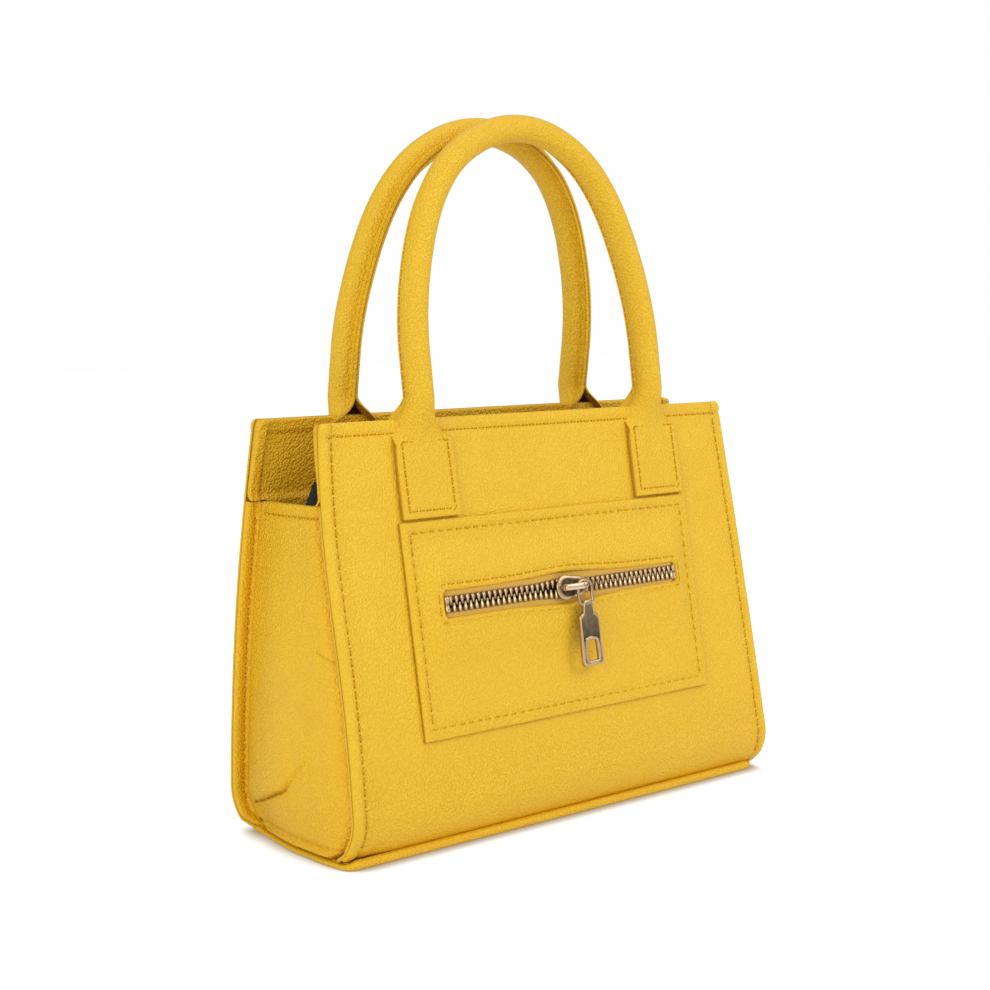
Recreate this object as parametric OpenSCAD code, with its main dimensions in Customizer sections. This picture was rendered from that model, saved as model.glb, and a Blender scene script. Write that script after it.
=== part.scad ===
// Small top handle bag: two leaning panels joined by bulged gussets, a zipped patch
// pocket on the front and two rolled handles that hinge at the tops of their sewn tabs.
// The origin is the centre of the base on the ground, +Z is up and the front faces -Y.

/* [Body] */
// Length of a panel from its rim to its lower edge, measured round the outside
panel_h = 143; // [120:1:170]
// Width of a panel along its rim
rim_w = 198; // [180:1:215]
// Width of a panel at the ground
base_w = 208; // [190:1:225]
// Depth over the panels at the rim
mouth_d = 32; // [28:1:44]
// Lean of the panels from upright, in degrees
panel_lean = 9.1; // [8:0.1:11]
// Radius that curls the lower edge of a panel under
curl_r = 16; // [12:1:20]
// Turn of that curl past upright, in degrees
curl_turn = 45; // [35:1:50]
// Height of the gap above a gusset, measured down the slope
gusset_drop = 27; // [20:1:34]
// Radius of a gusset's outward bulge
gusset_r = 180; // [140:5:260]
// Setback of the bulge from the panels' side edges
gusset_inset = 1.5; // [1:0.25:3]
// Width of the gusset's turned edges
flange_w = 10; // [9:0.5:14]

/* [Layers] */
// Thickness of the panel leather
panel_t = 1.4; // [1:0.1:1.8]
// Thickness of the gusset leather
gusset_t = 1.4; // [1:0.1:1.8]
// Thickness of the boards that stiffen the panels
board_t = 1; // [0.6:0.1:1.4]
// Thickness of the leather facings inside the rim
facing_t = 1.2; // [0.8:0.1:1.6]
// Thickness of the lining
lining_t = 0.5; // [0.3:0.1:0.8]
// Gap left beside soft sheets
sheet_gap = 0.3; // [0.2:0.1:0.5]

/* [Base] */
// Diameter of the piping round the base
piping_d = 3.6; // [3:0.2:4.4]
// Radius of the base's corners along the middle of the piping
corner_r = 8; // [5:1:14]
// Thickness of the base leather
base_t = 1.8; // [1.2:0.1:1.8]

/* [Handles] */
// Distance between the two legs of a handle
handle_span = 114; // [100:1:125]
// Height of a handle from its hinge line to the middle of the tube's top
handle_rise = 106; // [98:1:125]
// Lean of the handles from upright, in degrees
handle_lean = 6.9; // [6:0.1:7]
// Radius of the arch at its top
crown_r = 46; // [40:1:50]
// Radius of the arch at its sides
shoulder_r = 101; // [92:1:115]
// Diameter of the rolled tube
tube_d = 9.8; // [9:0.1:10.4]
// Diameter of the rope inside the tube
rope_d = 6.8; // [5.6:0.1:7.4]
// How far the sewn edges of the tube stand out as a fin
fin_h = 2.4; // [1.8:0.1:2.6]
// Thickness of that fin
fin_t = 2.2; // [1.6:0.1:2.8]
// Width of a handle's sewn tab
tab_w = 26.7; // [22:0.1:30]
// Distance from the rim down to a tab's lower edge
tab_drop = 34; // [30:1:40]
// Thickness of the folded strap at a tab
strap_t = 2.2; // [1.8:0.1:2.6]
// Distance from the rim down to the hinge line
hinge_drop = 5.4; // [4.5:0.1:7]
// Gap between the hinged strap and the sewn tab, which lets the handle fold down
tab_gap = 1.9; // [1.7:0.1:2.5]
// Height of the stretch over which a flat tab rolls up into the tube
roll_h = 10; // [8:0.5:14]
// Forward offset of the tube from the hinge line
tube_forward = 2.9; // [2.6:0.1:3.4]

/* [Pocket] */
// Width of the pocket patch
patch_w = 142.4; // [134:0.2:150]
// Height of the pocket patch
patch_h = 73.2; // [66:0.2:80]
// Gap between the tabs and the patch
patch_gap = 0.8; // [0.4:0.1:2]
// Thickness of the patch leather
patch_t = 1.4; // [1:0.1:1.6]
// Width of the flat sewn border of the patch
border_w = 5.5; // [4:0.5:7]
// Width of the slope between the border and the raised middle
slope_w = 3.5; // [3:0.5:5]
// Length of the zip window
window_w = 115.4; // [105:0.2:117]
// Height of the zip window
window_h = 9.5; // [9.5:0.1:11]
// Distance from the top of the patch down to the middle of the zip
zip_drop = 28.8; // [22:0.2:40]

/* [Zip] */
// Distance between neighbouring teeth of one row
tooth_pitch = 2.55; // [2.5:0.05:2.7]
// Thickness of a tooth along the row
tooth_t = 1.15; // [1:0.05:1.2]
// Height of a tooth across the tape's faces
tooth_h = 2.6; // [2.2:0.1:2.8]
// Reach of a tooth from the middle of the chain out to the ends of its legs
tooth_out = 2.9; // [2.7:0.1:3.1]
// Reach of a tooth's head past the middle of the chain
tooth_in = 0.85; // [0.7:0.05:0.95]
// Number of teeth in one row
tooth_n = 44; // [38:1:44]
// Width of one tape
tape_w = 14; // [10:0.5:14]
// Thickness of a tape
tape_t = 0.7; // [0.5:0.1:0.8]
// Diameter of the cord that the teeth are clamped on
bead_d = 1.1; // [0.9:0.1:1.2]
// Place of the slider along the zip
slider_at = 0; // [-12:1:12]
// Length of the slider
slider_l = 13; // [12:0.5:14]
// Width of the slider's wide end
slider_w = 8.8; // [8.4:0.1:8.8]
// Thickness of the slider's plates
plate_t = 1; // [0.8:0.1:1.2]
// Diameter of the link's wire
wire_d = 1.3; // [1.1:0.1:1.4]
// Width of the link along the middle of its wire
link_w = 6.6; // [6:0.1:7.4]
// Height of the link along the middle of its wire
link_h = 8.6; // [8:0.1:10]
// Length of the pull below the link
pull_l = 21.4; // [16:0.2:24]
// Width of the pull at its end
pull_w = 9.4; // [8.8:0.2:10]
// Width of the pull at its shoulders
pull_top_w = 8; // [7.2:0.2:8.6]
// Thickness of the pull
pull_t = 1.6; // [1.2:0.1:1.8]

/* [Closure] */
// Diameter of the magnetic snap
snap_d = 17; // [14:1:20]
// Thickness of each half of the snap
snap_t = 2.6; // [2:0.1:3]
// Distance from the rim down to the middle of the snap
snap_drop = 13; // [12:1:16]

/* [Hidden] */

leather = "#efc136";
side_leather = "#e2b02f";
lining_black = "#1c1b1b";
board_grey = "#8d8577";
tape_mustard = "#c69a3e";
antique_metal = "#8f8371";
round_fn = 96;
wire_fn = 48;
small_fn = 32;
// One overrun serves every cut
cut = 1;

// Panel profile, drawn outwards and upwards from the middle of the bag
arc_deg = panel_lean + curl_turn;
straight_l = panel_h - curl_r * arc_deg * PI / 180;
lower_z = piping_d;
curl_z = lower_z + curl_r * sin(curl_turn);
curl_o = mouth_d / 2 - curl_r * cos(panel_lean) + straight_l * sin(panel_lean);
rim_z = curl_z + curl_r * sin(panel_lean) + straight_l * cos(panel_lean);
lower_o = curl_o + curl_r * cos(curl_turn);
side_lean = atan((base_w - rim_w) / 2 / rim_z);
gusset_top_z = rim_z - gusset_drop * cos(panel_lean);
sweep_steps = 12;
full_w = max(base_w, rim_w);

// Half width of a panel at a height
function half_w(z) = (base_w + (rim_w - base_w) * z / rim_z) / 2;

// Point of the profile, a distance down from the rim and a depth in from the outside
function slope_point(down, depth) = [
    mouth_d / 2 + down * sin(panel_lean) - depth * cos(panel_lean),
    rim_z - down * cos(panel_lean) - depth * sin(panel_lean),
];
function curl_point(turn, depth) = [
    curl_o + (curl_r - depth) * cos(turn),
    curl_z + (curl_r - depth) * sin(turn),
];

// Outline of everything that lies deeper than a depth, from the middle to one side
function core_outline(depth) = concat(
    [[-cut, 0], [curl_point(-curl_turn, depth)[0], 0]],
    [for (i = [0 : sweep_steps]) curl_point(-curl_turn + arc_deg * i / sweep_steps, depth)],
    [slope_point(-cut, depth), [-cut, slope_point(-cut, depth)[1]]]
);

// Turns a drawing of outwards and upwards into the profile's own plane
module in_profile() { rotate([90, 0, -90]) children(); }

// Line of the profile at a depth, from a distance below the rim down to another or,
// past the straight stretch, down round the curl
function band_line(depth, from_down, to_down) = concat(
    [slope_point(from_down, depth)],
    to_down < straight_l ?
        [slope_point(to_down, depth)] :
        [for (i = [sweep_steps : -1 : 0]) curl_point(-curl_turn + arc_deg * i / sweep_steps, depth)]
);
function reversed(list) = [for (i = [len(list) - 1 : -1 : 0]) list[i]];

// Band of the panel's profile between two depths
module band(from_depth, to_depth, from_down, to_down) {
    in_profile()
        linear_extrude(height = full_w, center = true)
            polygon(concat(
                band_line(from_depth, from_down, to_down),
                reversed(band_line(to_depth, from_down, to_down))
            ));
}

// Everything between the two side edges, drawn in by an inset
module between_sides(inset) {
    rotate([90, 0, 0])
        linear_extrude(height = full_w, center = true)
            polygon([
                [-half_w(-cut) + inset, -cut], [half_w(-cut) - inset, -cut],
                [half_w(rim_z + cut) - inset, rim_z + cut],
                [-half_w(rim_z + cut) + inset, rim_z + cut],
            ]);
}

// A band cut to the panel's tapering width
module wall(from_depth, to_depth, from_down, to_down, inset) {
    intersection() {
        band(from_depth, to_depth, from_down, to_down);
        between_sides(inset);
    }
}

// Solid space deeper than a depth, front and back together
module core(depth) {
    for (flip = [0, 1])
        mirror([0, flip, 0])
            in_profile()
                linear_extrude(height = full_w, center = true)
                    polygon(core_outline(depth));
}

module to_back() { mirror([0, 1, 0]) children(); }
module to_left() { mirror([1, 0, 0]) children(); }

// Frame of the front panel: X along the rim, Y up the slope from the rim, Z outwards
module on_front() {
    translate([0, -mouth_d / 2, rim_z])
        rotate([90 - panel_lean, 0, 0])
            children();
}

// Base
base_x = base_w / 2 - piping_d / 2;
base_y = lower_o;
board_inset = 0.4;

module rounded_plate(half_x, half_y, r, thick) {
    linear_extrude(height = thick) {
        square([2 * (half_x - r), 2 * half_y], center = true);
        square([2 * half_x, 2 * (half_y - r)], center = true);
        for (sx = [-1, 1], sy = [-1, 1])
            translate([sx * (half_x - r), sy * (half_y - r)])
                circle(r = r, $fn = round_fn);
    }
}

// Closed rounded rectangle of wire, flat in XY
module wire_loop(half_x, half_y, r, wire) {
    for (sx = [-1, 1])
        translate([sx * half_x, 0, 0])
            rotate([90, 0, 0])
                cylinder(h = 2 * (half_y - r), d = wire, center = true, $fn = wire_fn);
    for (sy = [-1, 1])
        translate([0, sy * half_y, 0])
            rotate([0, 90, 0])
                cylinder(h = 2 * (half_x - r), d = wire, center = true, $fn = wire_fn);
    for (quarter = [0 : 3]) {
        sx = quarter == 0 || quarter == 3 ? 1 : -1;
        sy = quarter < 2 ? 1 : -1;
        translate([sx * (half_x - r), sy * (half_y - r), 0])
            rotate([0, 0, 90 * quarter])
                rotate_extrude(angle = 90, $fn = wire_fn)
                    translate([r, 0])
                        circle(d = wire, $fn = wire_fn);
    }
}

module base_panel() {
    color(leather)
        rounded_plate(base_x - piping_d / 2, base_y - piping_d / 2, corner_r - piping_d / 2, base_t);
}

module base_board() {
    color(board_grey)
        translate([0, 0, base_t])
            rounded_plate(base_x - piping_d / 2 - board_inset, base_y - piping_d / 2 - board_inset,
                corner_r - piping_d / 2, piping_d - base_t);
}

module base_piping() {
    color(leather)
        translate([0, 0, piping_d / 2])
            wire_loop(base_x, base_y, corner_r, piping_d);
}

// Panels, their boards, facings and linings
module panel() { color(leather) wall(0, panel_t, 0, straight_l, 0); }

module board() {
    color(board_grey)
        wall(panel_t, panel_t + board_t, gusset_drop, straight_l, flange_w + sheet_gap);
}

module facing() {
    color(leather)
        wall(panel_t, panel_t + facing_t, 0,
            gusset_drop - sheet_gap - (panel_t + facing_t) * tan(panel_lean), 0);
}

module lining() {
    color(lining_black)
        wall(panel_t + board_t, panel_t + board_t + lining_t, gusset_drop, straight_l,
            flange_w + sheet_gap);
}

// Leaning shell of the gusset's bulge, set in from the side edge by a depth
module bulge_shell(from_depth, to_depth) {
    translate([half_w(0) - gusset_inset, 0, 0])
        rotate([0, -side_lean, 0])
            translate([-gusset_r, 0, -cut])
                difference() {
                    cylinder(h = rim_z + cut, r = gusset_r - from_depth, $fn = 2 * round_fn);
                    translate([0, 0, -cut])
                        cylinder(h = rim_z + 3 * cut, r = gusset_r - to_depth, $fn = 2 * round_fn);
                }
}

// Slab that keeps the right half between two heights
module right_slab(from_z, to_z) {
    translate([0, -full_w / 2, from_z])
        cube([full_w, full_w, to_z - from_z]);
}

module gusset() {
    color(side_leather) {
        intersection() {
            bulge_shell(0, gusset_t);
            core(panel_t + gusset_t / 2);
            right_slab(lower_z, gusset_top_z);
        }
        for (flip = [0, 1])
            mirror([0, flip, 0])
                difference() {
                    wall(panel_t, panel_t + gusset_t, gusset_drop, straight_l, 0);
                    between_sides(flange_w);
                    to_left() right_slab(0, rim_z + cut);
                }
    }
}

module side_lining() {
    color(lining_black)
        intersection() {
            bulge_shell(gusset_t, gusset_t + lining_t);
            core(panel_t + gusset_t + sheet_gap);
            right_slab(piping_d + lining_t + sheet_gap, gusset_top_z);
        }
}

module base_lining() {
    color(lining_black)
        translate([0, 0, piping_d])
            linear_extrude(height = lining_t)
                square([2 * (half_w(0) - flange_w), 2 * (base_y - piping_d)], center = true);
}

// Handles
grip_gap = 0.4;
grip_y = hinge_drop + grip_gap;
tube_y = grip_y + roll_h;
crown_y = handle_rise - crown_r;
shoulder_x = handle_span / 2 - shoulder_r;
shoulder_y = crown_y - sqrt(pow(shoulder_r - crown_r, 2) - pow(shoulder_x, 2));
shoulder_deg = atan2(crown_y - shoulder_y, -shoulder_x);
mouth_w_share = 0.32;
slice = 0.01;

// Frame of the front handle: the hinge line is its X axis, Y runs up the handle
module on_handle() {
    on_front()
        translate([0, -hinge_drop, strap_t / 2])
            rotate([panel_lean - handle_lean, 0, 0])
                children();
}

// Places along a handle from the hinge up its right leg to the crown, each
// [x, y, turn, share rolled up, share of the strap's thickness]
arc_steps = 6;
roll_steps = 4;
round_steps = 3;
arc_stations = concat(
    [for (k = [0 : arc_steps])
        let (turn = shoulder_deg * k / arc_steps)
        [shoulder_x + shoulder_r * cos(turn), shoulder_y + shoulder_r * sin(turn), turn, 1, 1]],
    [for (k = [1 : arc_steps])
        let (turn = shoulder_deg + (90 - shoulder_deg) * k / arc_steps)
        [crown_r * cos(turn), crown_y + crown_r * sin(turn), turn, 1, 1]]
);
strap_stations = concat(
    [for (k = [1 : round_steps])
        let (turn = 90 * (k - 0.5) / round_steps)
        [handle_span / 2, -strap_t / 2 * cos(turn), 0, 0, sin(turn)]],
    [for (k = [0 : roll_steps])
        let (share = k / roll_steps)
        [handle_span / 2, grip_y + roll_h * share, 0, share * share * (3 - 2 * share), 1]]
);

// The same places on the left leg, from the crown down
function left_of(list) = [
    for (i = [len(list) - 1 : -1 : 0])
        let (at = list[i])
        if (at[0] > slice) [-at[0], at[1], 180 - at[2], at[3], at[4]]
];

// Section of the strap between flat and rolled, with its fin pointing at the bag's middle
section_n = 16;
flat_power = 0.3;
fin_deg = asin(fin_t / tube_d);
function squared(x) = sign(x) * pow(abs(x), flat_power);
function strap_section(rolled, thick) = concat(
    [for (i = [0 : section_n - 1])
        let (a = -90 + fin_deg + (360 - 2 * fin_deg) * i / (section_n - 1))
        [
            (1 - rolled) * tab_w / 2 * squared(cos(a)) + rolled * tube_d / 2 * cos(a),
            (1 - rolled) * thick * strap_t / 2 * squared(sin(a))
                + rolled * (tube_forward + tube_d / 2 * sin(a)),
        ]],
    [for (side = [-1, 1])
        [
            side * fin_t / 2,
            -(1 - rolled) * thick * strap_t / 2
                + rolled * (tube_forward - tube_d / 2 - fin_h),
        ]]
);
function rope_section() = [
    for (i = [0 : section_n - 1])
        let (a = 360 * i / section_n)
        [rope_d / 2 * cos(a), tube_forward + rope_d / 2 * sin(a)]
];

// Points of a section set across the handle at one of its places
function placed(section, at) = [
    for (q = section) [at[0] + q[0] * cos(at[2]), at[1] + q[0] * sin(at[2]), q[1]]
];

// Closed skin over a row of sections that all have n points
module loft(rows, n) {
    last = (len(rows) - 1) * n;
    polyhedron(
        points = [for (row = rows) for (q = row) q],
        faces = concat(
            [[for (j = [n - 1 : -1 : 0]) j]],
            [for (i = [0 : len(rows) - 2])
                for (j = [0 : n - 1])
                    for (f = [
                        [i * n + (j + 1) % n, (i + 1) * n + (j + 1) % n, (i + 1) * n + j],
                        [i * n + j, i * n + (j + 1) % n, (i + 1) * n + j],
                    ])
                        f],
            [[for (j = [0 : n - 1]) last + j]]
        )
    );
}

module rope() {
    path = concat([[handle_span / 2, tube_y, 0, 1, 1]], arc_stations);
    loft([for (at = concat(path, left_of(path))) placed(rope_section(), at)], section_n);
}

// The rolled strap: flat and rounded at both ends, open where the roll begins
module handle_cover() {
    path = concat(strap_stations, arc_stations);
    color(leather)
        on_handle()
            difference() {
                loft([for (at = concat(path, left_of(path)))
                    placed(strap_section(at[3], at[4]), at)], section_n + 2);
                rope();
                for (sx = [-1, 1])
                    translate([sx * handle_span / 2, 0, -tube_d])
                        linear_extrude(height = tube_d)
                            polygon([
                                [-tab_w * mouth_w_share / 2, grip_y],
                                [tab_w * mouth_w_share / 2, grip_y],
                                [0, tube_y + strap_t],
                            ]);
            }
}

module handle_core() {
    color(board_grey) on_handle() rope();
}

// Flat sewn end of a handle, on the right
module tab() {
    color(leather)
        on_front()
            translate([handle_span / 2 - tab_w / 2, -tab_drop, 0])
                cube([tab_w, tab_drop - hinge_drop - strap_t / 2 - tab_gap, strap_t]);
}

// Pocket
patch_top = -(tab_drop + patch_gap);
zip_y = patch_top - zip_drop;
chain_z = tooth_h / 2 + plate_t + tape_t + sheet_gap / 2;
cavity_h = chain_z + bead_d / 2;
window_r = 1.6;

// Frame of the zip: its origin is the middle of the window in the chain's plane
module on_zip() { on_front() translate([0, zip_y, chain_z]) children(); }

// Block of the patch's size drawn in by an inset, from a height up
module patch_block(inset, z, thick) {
    translate([-patch_w / 2 + inset, patch_top - patch_h + inset, z])
        cube([patch_w - 2 * inset, patch_h - 2 * inset, thick]);
}

module window_outline() {
    square([window_w - 2 * window_r, window_h], center = true);
    square([window_w, window_h - 2 * window_r], center = true);
    for (sx = [-1, 1], sy = [-1, 1])
        translate([sx * (window_w / 2 - window_r), sy * (window_h / 2 - window_r)])
            circle(r = window_r, $fn = small_fn);
}

module pocket_patch() {
    color(leather)
        on_front()
            difference() {
                union() {
                    patch_block(0, 0, patch_t);
                    hull() {
                        patch_block(border_w, patch_t - slice, slice);
                        patch_block(border_w + slope_w, cavity_h, patch_t);
                    }
                }
                hull() {
                    patch_block(border_w + patch_t, -slice, slice);
                    patch_block(border_w + slope_w + patch_t, cavity_h - slice, slice);
                }
                translate([0, zip_y, 0])
                    linear_extrude(height = cavity_h + patch_t + cut)
                        window_outline();
            }
}

// Zip chain
bead_y = 1.9 / 2.9 * tooth_out;
spread_max = 1.6 / 2.9 * tooth_out;
spread_rest = 0.6 / 2.9 * tooth_out;
mesh_x = -0.8 / 13 * slider_l;
nose_x = -4.6 / 13 * slider_l;
relax_x = -slider_l * 1.15;
tape_l = patch_w - 2 * (border_w + slope_w + patch_t) - 2 * sheet_gap;
stop_l = 1.2 / 2.55 * tooth_pitch;
stop_x = (tooth_n * tooth_pitch + stop_l) / 2 + sheet_gap / 2;

// How far a row stands off its meshed place at a distance from the slider's middle
function spread(x) =
    x >= mesh_x ? 0 :
    x >= nose_x ? spread_max * (mesh_x - x) / (mesh_x - nose_x) :
    x >= relax_x ? spread_max + (spread_rest - spread_max) * (nose_x - x) / (nose_x - relax_x) :
    spread_rest;

// Place of a tooth from the slider's middle, its row shifted by a share of the pitch
function tooth_x(i, shift_share) =
    (i - (tooth_n - 1) / 2 + shift_share) * tooth_pitch - slider_at;

// Places along a tape, each with the row's offset there: straight through every tooth,
// and sloping between the teeth that the slider parts
function tape_stations(shift_share) = concat(
    [[-tape_l / 2 - slider_at, spread_rest]],
    [for (i = [0 : tooth_n - 1])
        let (x = tooth_x(i, shift_share))
        if (x > relax_x - tooth_pitch && x < mesh_x + tooth_pitch)
            for (side = [-1, 1])
                [x + side * tooth_t / 2, spread(x)]],
    [[tape_l / 2 - slider_at, 0]]
);

// Section across a tape: a strip with a corded edge
bead_n = 12;
lip_deg = asin(tape_t / bead_d);
function tape_section(at) = concat(
    [for (i = [0 : bead_n - 1])
        let (a = lip_deg + (360 - 2 * lip_deg) * i / (bead_n - 1))
        [slider_at + at[0], bead_y + at[1] + bead_d / 2 * cos(a), bead_d / 2 * sin(a)]],
    [for (side = [-1, 1])
        [slider_at + at[0], tape_w, side * tape_t / 2]]
);

module tape_half(shift_share) {
    loft([for (at = reversed(tape_stations(shift_share))) tape_section(at)], bead_n + 2);
}

// One tooth: a head that meshes and two legs clamped on the bead
tooth_chamfer = 0.35 / 2.6 * tooth_h;
module tooth() {
    rotate([90, 0, 90])
        linear_extrude(height = tooth_t, center = true)
            difference() {
                polygon([
                    [-tooth_in, -tooth_h / 2 + tooth_chamfer],
                    [-tooth_in + tooth_chamfer, -tooth_h / 2],
                    [tooth_out - tooth_chamfer, -tooth_h / 2],
                    [tooth_out, -tooth_h / 2 + tooth_chamfer],
                    [tooth_out, tooth_h / 2 - tooth_chamfer],
                    [tooth_out - tooth_chamfer, tooth_h / 2],
                    [-tooth_in + tooth_chamfer, tooth_h / 2],
                    [-tooth_in, tooth_h / 2 - tooth_chamfer],
                ]);
                translate([bead_y, 0])
                    circle(d = bead_d, $fn = small_fn);
                translate([bead_y, -tape_t / 2])
                    square([tooth_out, tape_t]);
            }
}

// Teeth of one row
module tooth_row(shift_share) {
    for (i = [0 : tooth_n - 1]) {
        x = tooth_x(i, shift_share);
        translate([slider_at + x, spread(x), 0]) tooth();
    }
}

module zip_teeth_upper() { color(antique_metal) on_zip() tooth_row(-1 / 4); }
module zip_teeth_lower() { color(antique_metal) on_zip() mirror([0, 1, 0]) tooth_row(1 / 4); }
module zip_tape_upper() { color(tape_mustard) on_zip() tape_half(-1 / 4); }
module zip_tape_lower() { color(tape_mustard) on_zip() mirror([0, 1, 0]) tape_half(1 / 4); }

module zip_top_stops() {
    color(antique_metal)
        on_zip()
            for (flip = [0, 1])
                mirror([0, flip, 0])
                    translate([-stop_x, bead_y + spread_rest, 0])
                        rotate([0, 90, 0])
                            difference() {
                                cylinder(h = stop_l, d = tooth_h - tape_t, center = true,
                                    $fn = small_fn);
                                cylinder(h = stop_l + cut, d = bead_d, center = true,
                                    $fn = small_fn);
                                translate([-tape_t / 2, 0, -stop_l])
                                    cube([tape_t, tooth_h, 2 * stop_l]);
                            }
}

module zip_bottom_stop() {
    color(antique_metal)
        on_zip()
            translate([stop_x, 0, 0])
                difference() {
                    cube([stop_l, 2 * tooth_out, tooth_h], center = true);
                    for (flip = [0, 1])
                        mirror([0, flip, 0]) {
                            translate([0, bead_y, 0])
                                rotate([0, 90, 0])
                                    cylinder(h = 2 * stop_l, d = bead_d, center = true,
                                        $fn = small_fn);
                            translate([-stop_l, bead_y, -tape_t / 2])
                                cube([2 * stop_l, tooth_out, tape_t]);
                        }
                }
}

// Slider, seen with its wide end on the left, where the two rows come in
plate_gap = 0.1;
channel_h = tooth_h + 2 * plate_gap;
slider_h = channel_h + 2 * plate_t;
flange_t = 0.75 / 8.8 * slider_w;
flange_x = mesh_x + tooth_t / 2 + plate_gap;
flange_y = tooth_out + plate_gap;
nose_at = -slider_l / 2 + slider_w / 2;
tail_w = 2 * (flange_y + flange_t);
wedge_l = 2 / 13 * slider_l;
wedge_w = 1.1 / 8.8 * slider_w;
post_d = 2.2;
knuckle_d = 2.5;
post_x = slider_l / 2 - 1.6 / 2.2 * post_d;
link_z = slider_h / 2 + sheet_gap + knuckle_d / 2;
bridge_z = link_z + wire_d / 2 + sheet_gap;
bridge_t = plate_t;
bridge_w = 2.8;
bridge_x = -slider_l / 2 + slider_w / 3;

module on_slider() { on_zip() translate([slider_at, 0, 0]) children(); }

// Plate outline: a round nose that narrows to the tail
module plate_outline() {
    translate([nose_at, 0]) circle(d = slider_w, $fn = wire_fn);
    polygon([
        [nose_at, -slider_w / 2], [0, -slider_w / 2], [slider_l / 2 - flange_t, -tail_w / 2],
        [slider_l / 2, -tail_w / 2 + flange_t], [slider_l / 2, tail_w / 2 - flange_t],
        [slider_l / 2 - flange_t, tail_w / 2], [0, slider_w / 2], [nose_at, slider_w / 2],
    ]);
}

module slider_body() {
    color(antique_metal)
        on_slider() {
            for (flip = [0, 1])
                mirror([0, 0, flip]) {
                    translate([0, 0, channel_h / 2])
                        linear_extrude(height = plate_t)
                            plate_outline();
                    for (side = [0, 1])
                        mirror([0, side, 0])
                            translate([flange_x, flange_y, tape_t / 2 + plate_gap])
                                cube([slider_l / 2 - flange_t - flange_x, flange_t,
                                    channel_h / 2 - tape_t / 2 - plate_gap + plate_t / 2]);
                }
            translate([-slider_l / 2 + flange_t, 0, 0])
                linear_extrude(height = channel_h + plate_t, center = true)
                    polygon([
                        [0, 0], [wedge_l / 3, -wedge_w / 2],
                        [wedge_l, 0], [wedge_l / 3, wedge_w / 2],
                    ]);
        }
}

// Bridge over the slider: a bar on a broad left foot and a round right post
module slider_bridge() {
    color(antique_metal)
        on_slider() {
            translate([post_x, 0, slider_h / 2])
                cylinder(h = bridge_z - slider_h / 2 + bridge_t / 2, d = post_d, $fn = wire_fn);
            translate([bridge_x, 0, slider_h / 2])
                cylinder(h = bridge_z - slider_h / 2 + bridge_t / 2, d = bridge_w, $fn = wire_fn);
            translate([0, 0, bridge_z])
                linear_extrude(height = bridge_t) {
                    translate([bridge_x, -bridge_w / 2])
                        square([post_x - bridge_x, bridge_w]);
                    for (x = [bridge_x, post_x])
                        translate([x, 0])
                            circle(d = bridge_w, $fn = wire_fn);
                }
        }
}

// Link: a wire loop that hangs on the bridge's right post
link_r = 1.7;
link_top = post_d / 2 + plate_gap + wire_d / 2;
link_left = post_x - post_d / 2 - wire_d / 2 - sheet_gap / 2;
neck_w = 4.2;
knuckle_gap = 0.1;

module pull_link() {
    color(antique_metal)
        on_slider()
            translate([link_left + link_w / 2, link_top - link_h / 2, link_z])
                wire_loop(link_w / 2, link_h / 2, link_r, wire_d);
}

// Pull: a knuckle on the link's lower bar, a neck, and a tapering plate with a window
pull_r = 2;
shoulder_drop = 3;
pull_window_h = 7.4;
pull_window_rim = 1.5;

module pull_tab() {
    color(antique_metal)
        on_slider()
            translate([link_left + link_w / 2, link_top - link_h, link_z])
                difference() {
                    union() {
                        rotate([0, 90, 0])
                            cylinder(h = neck_w - 2 * plate_gap, d = knuckle_d, center = true,
                                $fn = wire_fn);
                        translate([0, 0, -pull_t / 2])
                            linear_extrude(height = pull_t)
                                difference() {
                                    pull_outline();
                                    pull_window();
                                }
                    }
                    rotate([0, 90, 0])
                        cylinder(h = pull_w, d = wire_d + 2 * knuckle_gap, center = true,
                            $fn = wire_fn);
                }
}

// Points of a round corner between two directions
corner_steps = 6;
function corner(at, r, from_deg, to_deg) = [
    for (i = [0 : corner_steps])
        let (a = from_deg + (to_deg - from_deg) * i / corner_steps)
        at + r * [cos(a), sin(a)]
];

module pull_outline() {
    translate([-neck_w / 2 + plate_gap, -shoulder_drop - cut])
        square([neck_w - 2 * plate_gap, shoulder_drop + cut]);
    polygon(concat(
        corner([pull_top_w / 2 - pull_r, -shoulder_drop - pull_r], pull_r, 0, 90),
        corner([-pull_top_w / 2 + pull_r, -shoulder_drop - pull_r], pull_r, 90, 180),
        corner([-pull_w / 2 + pull_r, -pull_l + pull_r], pull_r, 180, 270),
        corner([pull_w / 2 - pull_r, -pull_l + pull_r], pull_r, 270, 360)
    ));
}

// Window near the pull's end, arched at its top
module pull_window() {
    half = pull_w / 2 - pull_window_rim;
    foot = -pull_l + pull_window_rim;
    arch_deg = 60;
    arch_r = half / sin(arch_deg);
    polygon(concat(
        [[-half, foot], [half, foot]],
        corner([0, foot + pull_window_h - arch_r], arch_r, 90 - arch_deg, 90 + arch_deg)
    ));
}

// Snap halves, seated on the two facings inside the rim
snap_rim = 1.2;
snap_pin_d = 5;
snap_z = -(panel_t + facing_t);

module snap_socket() {
    color(antique_metal)
        on_front()
            translate([0, -snap_drop, snap_z - snap_t])
                difference() {
                    cylinder(h = snap_t, d = snap_d, $fn = wire_fn);
                    translate([0, 0, -cut])
                        cylinder(h = snap_t + cut - snap_rim, d = snap_pin_d + sheet_gap,
                            $fn = wire_fn);
                }
}

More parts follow.
